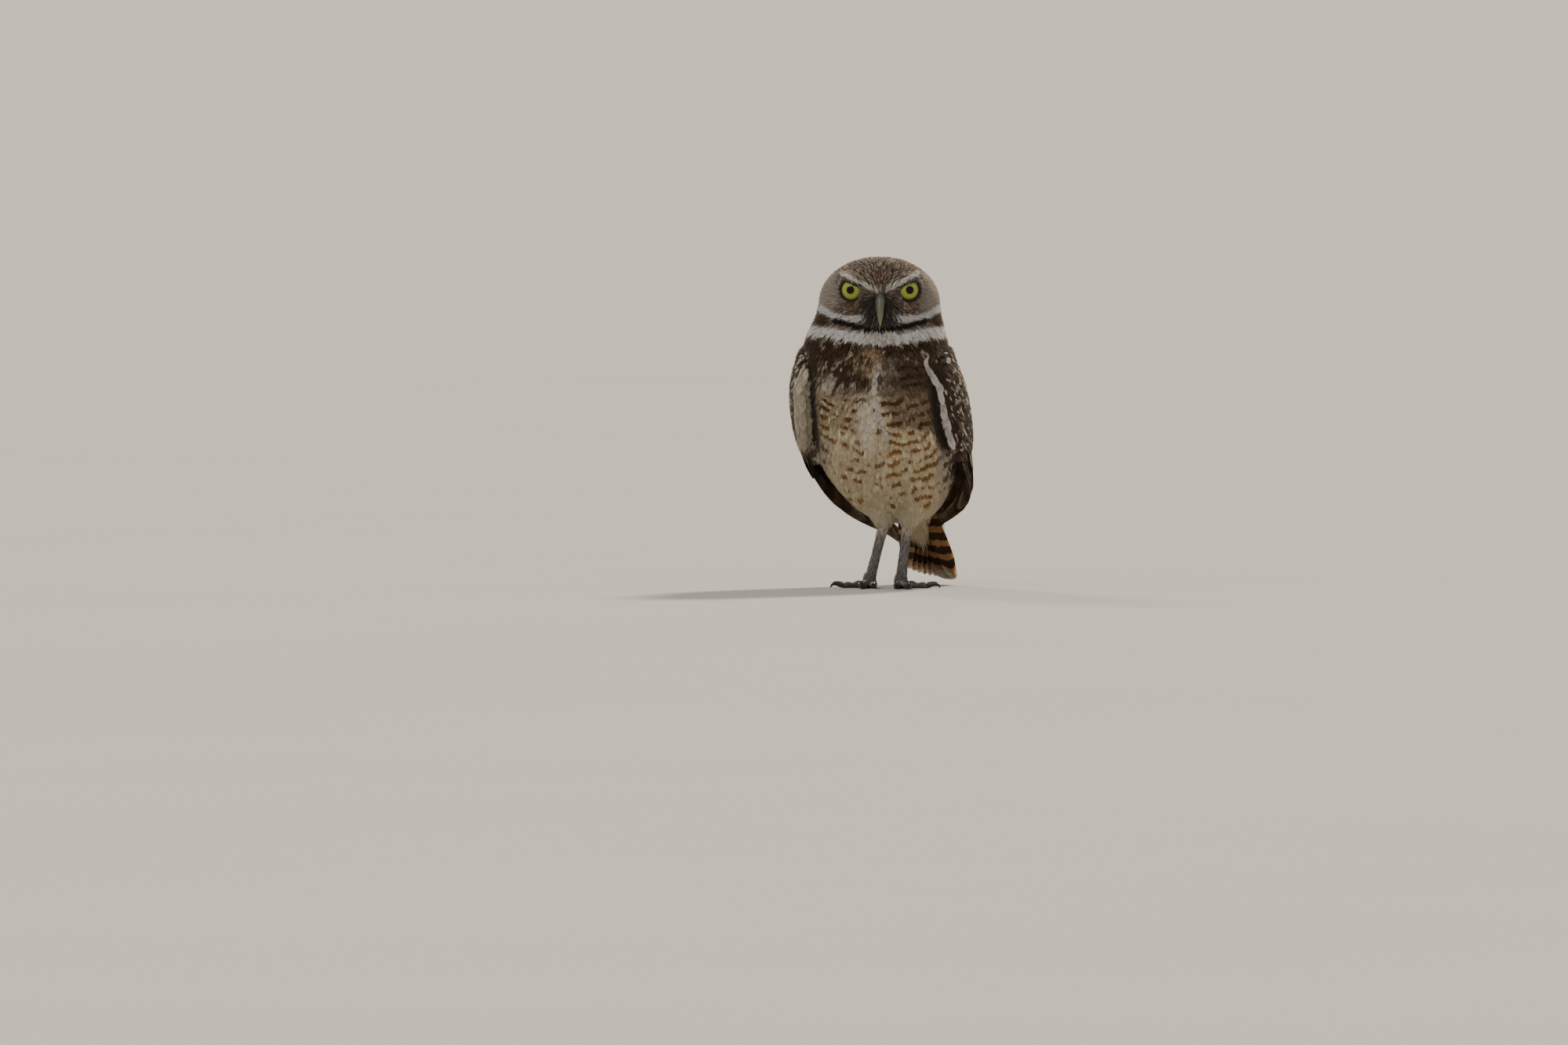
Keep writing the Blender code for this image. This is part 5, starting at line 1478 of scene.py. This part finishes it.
class Finish:
    """A material's nodes, made one after another."""

    def __init__(self, name):
        self.made = name in bpy.data.materials
        self.material = bpy.data.materials.get(name) or bpy.data.materials.new(name)
        if self.made:
            return
        self.material.use_nodes = True
        self.tree = self.material.node_tree
        self.shader = self.tree.nodes["Principled BSDF"]

    def join(self, value, socket):
        if isinstance(value, bpy.types.NodeSocket):
            self.tree.links.new(value, socket)
        else:
            socket.default_value = value

    def add(self, kind, settings=(), **inputs):
        node = self.tree.nodes.new(kind)
        for key, value in dict(settings).items():
            setattr(node, key, value)
        for key, value in inputs.items():
            index = int(key[1:]) if key[0] == "i" and key[1:].isdigit() else key.replace("_", " ")
            self.join(value, node.inputs[index])
        return node

    def calc(self, operation, *values):
        inputs = {f"i{k}": value for k, value in enumerate(values)}
        return self.add("ShaderNodeMath", {"operation": operation}, **inputs).outputs[0]

    def step(self, value, low, high):
        node = self.add("ShaderNodeMapRange", {"interpolation_type": "SMOOTHSTEP"}, i0=value, i1=low, i2=high)
        return node.outputs[0]

    def blend(self, share, one, two, way="MIX"):
        node = self.tree.nodes.new("ShaderNodeMix")
        node.data_type = "RGBA"
        node.blend_type = way
        self.join(share, node.inputs[0])
        self.join(one if isinstance(one, bpy.types.NodeSocket) else (*one, 1.0), node.inputs[6])
        self.join(two if isinstance(two, bpy.types.NodeSocket) else (*two, 1.0), node.inputs[7])
        return node.outputs[2]

    def kept(self, name):
        return self.add("ShaderNodeAttribute", {"attribute_name": name})

    def noise(self, scale, detail=3.0, vector=None, rough=0.5):
        node = self.add("ShaderNodeTexNoise", Scale=scale, Detail=detail, Roughness=rough)
        if vector is None:
            vector = self.add("ShaderNodeTexCoord").outputs["Object"]
        self.join(vector, node.inputs["Vector"])
        return node.outputs["Fac"]

    def parts(self, vector):
        return self.add("ShaderNodeSeparateXYZ", i0=vector).outputs

    def bump(self, height, strength, distance):
        node = self.add("ShaderNodeBump", Strength=strength, Distance=distance, Height=height)
        self.join(node.outputs[0], self.shader.inputs["Normal"])

    def done(self, colour, roughness, **sockets):
        self.join(colour, self.shader.inputs["Base Color"])
        self.join(roughness, self.shader.inputs["Roughness"])
        for key, value in sockets.items():
            self.shader.inputs[key.replace("_", " ")].default_value = value
        return self.material


def plumage_material():
    """Feathers: bars, spots and streaks drawn along each vane, and fine barbs on both sides of the shaft."""
    finish = Finish("plumage")
    if finish.made:
        return finish.material
    ground, marking, pattern = finish.kept("ground"), finish.kept("marking"), finish.kept("pattern")
    bar_share, spot_share, streak_share = finish.parts(pattern.outputs["Color"])
    u, v, _ = finish.parts(finish.add("ShaderNodeUVMap", {"uv_map": "vane"}).outputs[0])
    edge = finish.calc("MULTIPLY", finish.calc("ABSOLUTE", finish.calc("SUBTRACT", u, 0.5)), 2.0)
    chance = ground.outputs["Alpha"]
    wander = finish.calc("MULTIPLY", finish.calc("SUBTRACT", finish.noise(420, 2), 0.5), 0.16)
    along = finish.calc("ADD", v, wander)
    bend = finish.calc("MULTIPLY", finish.calc("MULTIPLY", edge, edge), 0.05)
    phase = finish.calc("ADD", pattern.outputs["Alpha"], finish.calc("MULTIPLY", wander, 2.2))
    phase = finish.calc("MULTIPLY", finish.calc("ADD", phase, bend), 2 * math.pi)
    bars = finish.calc("MULTIPLY", finish.step(finish.calc("COSINE", phase), -0.15, 0.5), bar_share)
    spot_u = finish.calc("DIVIDE", finish.calc("SUBTRACT", edge, 0.48), 0.44)
    spot_v = finish.calc("DIVIDE", finish.calc("SUBTRACT", along, 0.77), 0.20)
    spot = finish.calc("ADD", finish.calc("MULTIPLY", spot_u, spot_u), finish.calc("MULTIPLY", spot_v, spot_v))
    one_side = finish.calc("MAXIMUM", finish.calc("GREATER_THAN", chance, 0.75), finish.calc("GREATER_THAN", u, 0.5))
    spots = finish.calc("MULTIPLY", finish.step(spot, 1.3, 0.55), finish.calc("MULTIPLY", spot_share, one_side))
    streak = finish.calc("MULTIPLY", finish.step(edge, 0.42, 0.14), finish.step(along, 0.35, 0.6))
    streaks = finish.calc("MULTIPLY", streak, streak_share)
    marks = finish.calc("MAXIMUM", bars, finish.calc("MAXIMUM", spots, streaks))
    colour = finish.blend(marks, ground.outputs["Color"], marking.outputs["Color"])
    tip = finish.calc("MULTIPLY", finish.step(finish.calc("ADD", along, bend), 0.93, 0.99), marking.outputs["Alpha"])
    colour = finish.blend(tip, colour, (0.66, 0.61, 0.52))
    barb = finish.calc("ADD", finish.calc("MULTIPLY", v, 34.0), finish.calc("MULTIPLY", edge, -9.0))
    barb = finish.calc("ADD", finish.calc("MULTIPLY", finish.calc("SINE", finish.calc("MULTIPLY", barb, 2 * math.pi)), 0.5), 0.5)
    shaft = finish.step(edge, 0.07, 0.02)
    uneven = finish.noise(900, 3)
    # The barbs, a fine noise and each feather's chance vary its tone. The factor that rises with v is painted shade:
    # darker towards the root, where the feathers over it would shade it.
    light = finish.calc("ADD", 0.80, finish.calc("MULTIPLY", barb, 0.10))
    light = finish.calc("ADD", light, finish.calc("MULTIPLY", finish.calc("SUBTRACT", uneven, 0.5), 0.55))
    light = finish.calc("ADD", light, finish.calc("MULTIPLY", finish.calc("SUBTRACT", chance, 0.5), 0.22))
    light = finish.calc("MULTIPLY", light, finish.calc("ADD", 0.62, finish.calc("MULTIPLY", finish.step(v, 0.1, 0.5), 0.44)))
    light = finish.calc("MULTIPLY", light, finish.calc("SUBTRACT", 1.0, finish.calc("MULTIPLY", shaft, 0.18)))
    shade = finish.add("ShaderNodeCombineXYZ", i0=light, i1=light, i2=light).outputs[0]
    colour = finish.blend(1.0, colour, shade, "MULTIPLY")
    height = finish.calc("ADD", finish.calc("MULTIPLY", barb, 0.5), finish.calc("MULTIPLY", shaft, 1.2))
    height = finish.calc("ADD", height, finish.calc("MULTIPLY", uneven, 0.8))
    finish.bump(height, 0.35, 0.0003)
    return finish.done(colour, 0.8, Sheen_Weight=0.06, Sheen_Roughness=0.5, Specular_IOR_Level=0.14)


def skin_material():
    finish = Finish("skin_down")
    if finish.made:
        return finish.material
    down = finish.noise(900, 4, rough=0.7)
    colour = finish.blend(finish.step(down, 0.3, 0.7), finish.kept("ground").outputs["Color"], (0.12, 0.095, 0.075))
    colour = finish.blend(0.75, colour, finish.kept("ground").outputs["Color"])
    finish.bump(down, 0.6, 0.0006)
    return finish.done(colour, 0.9, Specular_IOR_Level=0.15)


def lid_material():
    finish = Finish("lid_skin")
    if finish.made:
        return finish.material
    grain = finish.noise(1800, 3)
    colour = finish.blend(finish.step(grain, 0.35, 0.75), (0.005, 0.0045, 0.0045), (0.014, 0.012, 0.011))
    finish.bump(grain, 0.4, 0.0002)
    return finish.done(colour, 0.55, Specular_IOR_Level=0.25)


def eye_material():
    """A yellow iris with fine rays, a dark rim and a black pupil under a wet surface."""
    finish = Finish("eye_wet")
    if finish.made:
        return finish.material
    polar, across, upward = finish.parts(finish.kept("gaze").outputs["Color"])
    polar = finish.calc("MULTIPLY", polar, 180.0)
    around = finish.calc("ARCTAN2", finish.calc("SUBTRACT", upward, 0.5), finish.calc("SUBTRACT", across, 0.5))
    rays = finish.noise(9.0, 4, finish.add("ShaderNodeCombineXYZ", i0=finish.calc("MULTIPLY", around, 3.4),
                                           i1=finish.calc("MULTIPLY", polar, 0.05), i2=0.0).outputs[0])
    iris = finish.blend(finish.step(rays, 0.3, 0.7), (0.24, 0.29, 0.028), (0.40, 0.45, 0.075))
    iris = finish.blend(finish.step(polar, 23.0, 15.0), iris, (0.27, 0.25, 0.02))
    iris = finish.blend(finish.step(polar, 31.0, 40.0), iris, (0.19, 0.235, 0.045))
    colour = finish.blend(finish.step(polar, PUPIL_REACH + 0.6, PUPIL_REACH - 0.6), iris, (0.003, 0.003, 0.003))
    colour = finish.blend(finish.step(polar, IRIS_REACH - 2.5, IRIS_REACH + 0.5), colour, (0.008, 0.007, 0.006))
    return finish.done(colour, 0.15, Coat_Weight=0.22, Coat_Roughness=0.03, Specular_IOR_Level=0.1)


def bill_material():
    finish = Finish("bill_horn")
    if finish.made:
        return finish.material
    along, cere_and_nostril_shade, _ = finish.parts(finish.kept("horn_shade").outputs["Color"])
    grain = finish.noise(700, 4)
    horn = finish.blend(finish.step(along, 0.35, 0.95), (0.078, 0.082, 0.054), (0.25, 0.235, 0.095))
    horn = finish.blend(finish.calc("MULTIPLY", grain, 0.35), horn, (0.15, 0.148, 0.09))
    colour = finish.blend(finish.step(cere_and_nostril_shade, 0.2, 0.9), horn, (0.050, 0.046, 0.042))
    # Painted shade: near black inside the nostrils.
    colour = finish.blend(finish.step(cere_and_nostril_shade, 1.4, 2.2), colour, (0.004, 0.004, 0.004))
    finish.bump(grain, 0.25, 0.0002)
    return finish.done(colour, 0.36, Coat_Weight=0.25, Coat_Roughness=0.25)


def claw_material():
    finish = Finish("claw_horn")
    if finish.made:
        return finish.material
    along, _, _ = finish.parts(finish.kept("horn_shade").outputs["Color"])
    grain = finish.noise(1400, 3)
    colour = finish.blend(finish.step(along, 0.0, 0.5), (0.045, 0.038, 0.032), (0.012, 0.011, 0.010))
    colour = finish.blend(finish.calc("MULTIPLY", grain, 0.3), colour, (0.07, 0.06, 0.05))
    finish.bump(grain, 0.2, 0.0001)
    return finish.done(colour, 0.30)


def leg_material():
    """Bare skin of the leg and toes in small scales."""
    finish = Finish("leg_scales")
    if finish.made:
        return finish.material
    place = finish.add("ShaderNodeTexCoord").outputs["Object"]
    scales = finish.add("ShaderNodeTexVoronoi", {"feature": "DISTANCE_TO_EDGE"}, Vector=place, Scale=950.0).outputs[0]
    seam = finish.step(scales, 0.0, 0.14)
    grain = finish.noise(600, 4)
    ground = finish.kept("ground").outputs["Color"]
    colour = finish.blend(finish.calc("MULTIPLY", grain, 0.5), ground, (0.20, 0.17, 0.145))
    colour = finish.blend(seam, (0.022, 0.018, 0.016), colour)
    finish.bump(finish.calc("ADD", seam, finish.calc("MULTIPLY", grain, 0.4)), 0.5, 0.0003)
    return finish.done(colour, 0.55)


def floor_material():
    finish = Finish("floor_pale")
    if finish.made:
        return finish.material
    cloud = finish.noise(1.5, 3)
    colour = finish.blend(cloud, (0.335, 0.33, 0.325), (0.36, 0.355, 0.35))
    return finish.done(colour, 0.8)


# Floor, light and camera


def to_frame(point):
    return Vector(((np.asarray(point, float) + OFFSET) * MM).tolist())


def make_floor():
    mesh = bpy.data.meshes.new("floor")
    half = 600.0
    mesh.from_pydata([(-half, -half, 0), (half, -half, 0), (half, half, 0), (-half, half, 0)], [], [(0, 1, 2, 3)])
    mesh.materials.append(floor_material())
    floor = bpy.data.objects.new("floor", mesh)
    bpy.context.scene.collection.objects.link(floor)


def make_light(name, turn, height, strength, spread, colour):
    """A broad far light. The turn is 0 in front of the face and grows towards the bird's left."""
    data = bpy.data.lights.new(name, "SUN")
    data.energy = strength
    data.angle = math.radians(spread)
    data.color = colour
    turn, height = math.radians(turn), math.radians(height)
    place = Vector((math.sin(turn) * math.cos(height), -math.cos(turn) * math.cos(height), math.sin(height)))
    light = bpy.data.objects.new(name, data)
    light.location = place
    light.rotation_euler = place.to_track_quat("Z", "Y").to_euler()
    bpy.context.scene.collection.objects.link(light)


def make_lights():
    world = bpy.data.worlds.new("studio")
    bpy.context.scene.world = world
    world.use_nodes = True
    background = world.node_tree.nodes["Background"]
    background.inputs["Color"].default_value = (1.0, 0.985, 0.96, 1.0)
    background.inputs["Strength"].default_value = 0.55
    make_light("key", -38, 48, 0.85, 50, (1.0, 0.95, 0.87))
    make_light("rim_right", 146, 42, 5.0, 9, (1.0, 0.86, 0.66))
    make_light("rim_left", -152, 30, 1.5, 12, (1.0, 0.88, 0.70))


def make_camera():
    """A long lens level with the owl, framed as in the photo."""
    data = bpy.data.cameras.new("camera")
    data.lens, data.sensor_width = LENS, SENSOR
    data.clip_end = 900
    ahead = np.array((0, math.cos(CAMERA_ELEVATION), -math.sin(CAMERA_ELEVATION)))
    middle_x = (PHOTO_WIDTH / 2 - OWL_COLUMN) * MM_PER_PIXEL
    middle_z = (FLOOR_ROW - PHOTO_HEIGHT / 2) * MM_PER_PIXEL / math.cos(CAMERA_ELEVATION)
    distance = PHOTO_WIDTH * MM_PER_PIXEL * LENS / SENSOR
    camera = bpy.data.objects.new("camera", data)
    camera.location = to_frame(np.array((middle_x, 0, middle_z)) - ahead * distance)
    camera.rotation_euler = Vector(ahead.tolist()).to_track_quat("-Z", "Y").to_euler()
    bpy.context.scene.collection.objects.link(camera)
    bpy.context.scene.camera = camera


def main():
    rng = np.random.default_rng(21)
    skin = Surface(make_skin())
    small_feathers = make_coat(skin, rng)
    make_loose_barbs(skin, rng)
    for word in WINGS:
        make_wing(word, small_feathers[word], rng)
    make_tail(rng)
    make_bristles(skin, rng)
    for word, side in (("left", 1), ("right", -1)):
        make_eye(word, side)
        make_lids(word, side)
        make_leg(word, rng)
    make_bill()
    make_floor()
    make_lights()
    make_camera()


main()
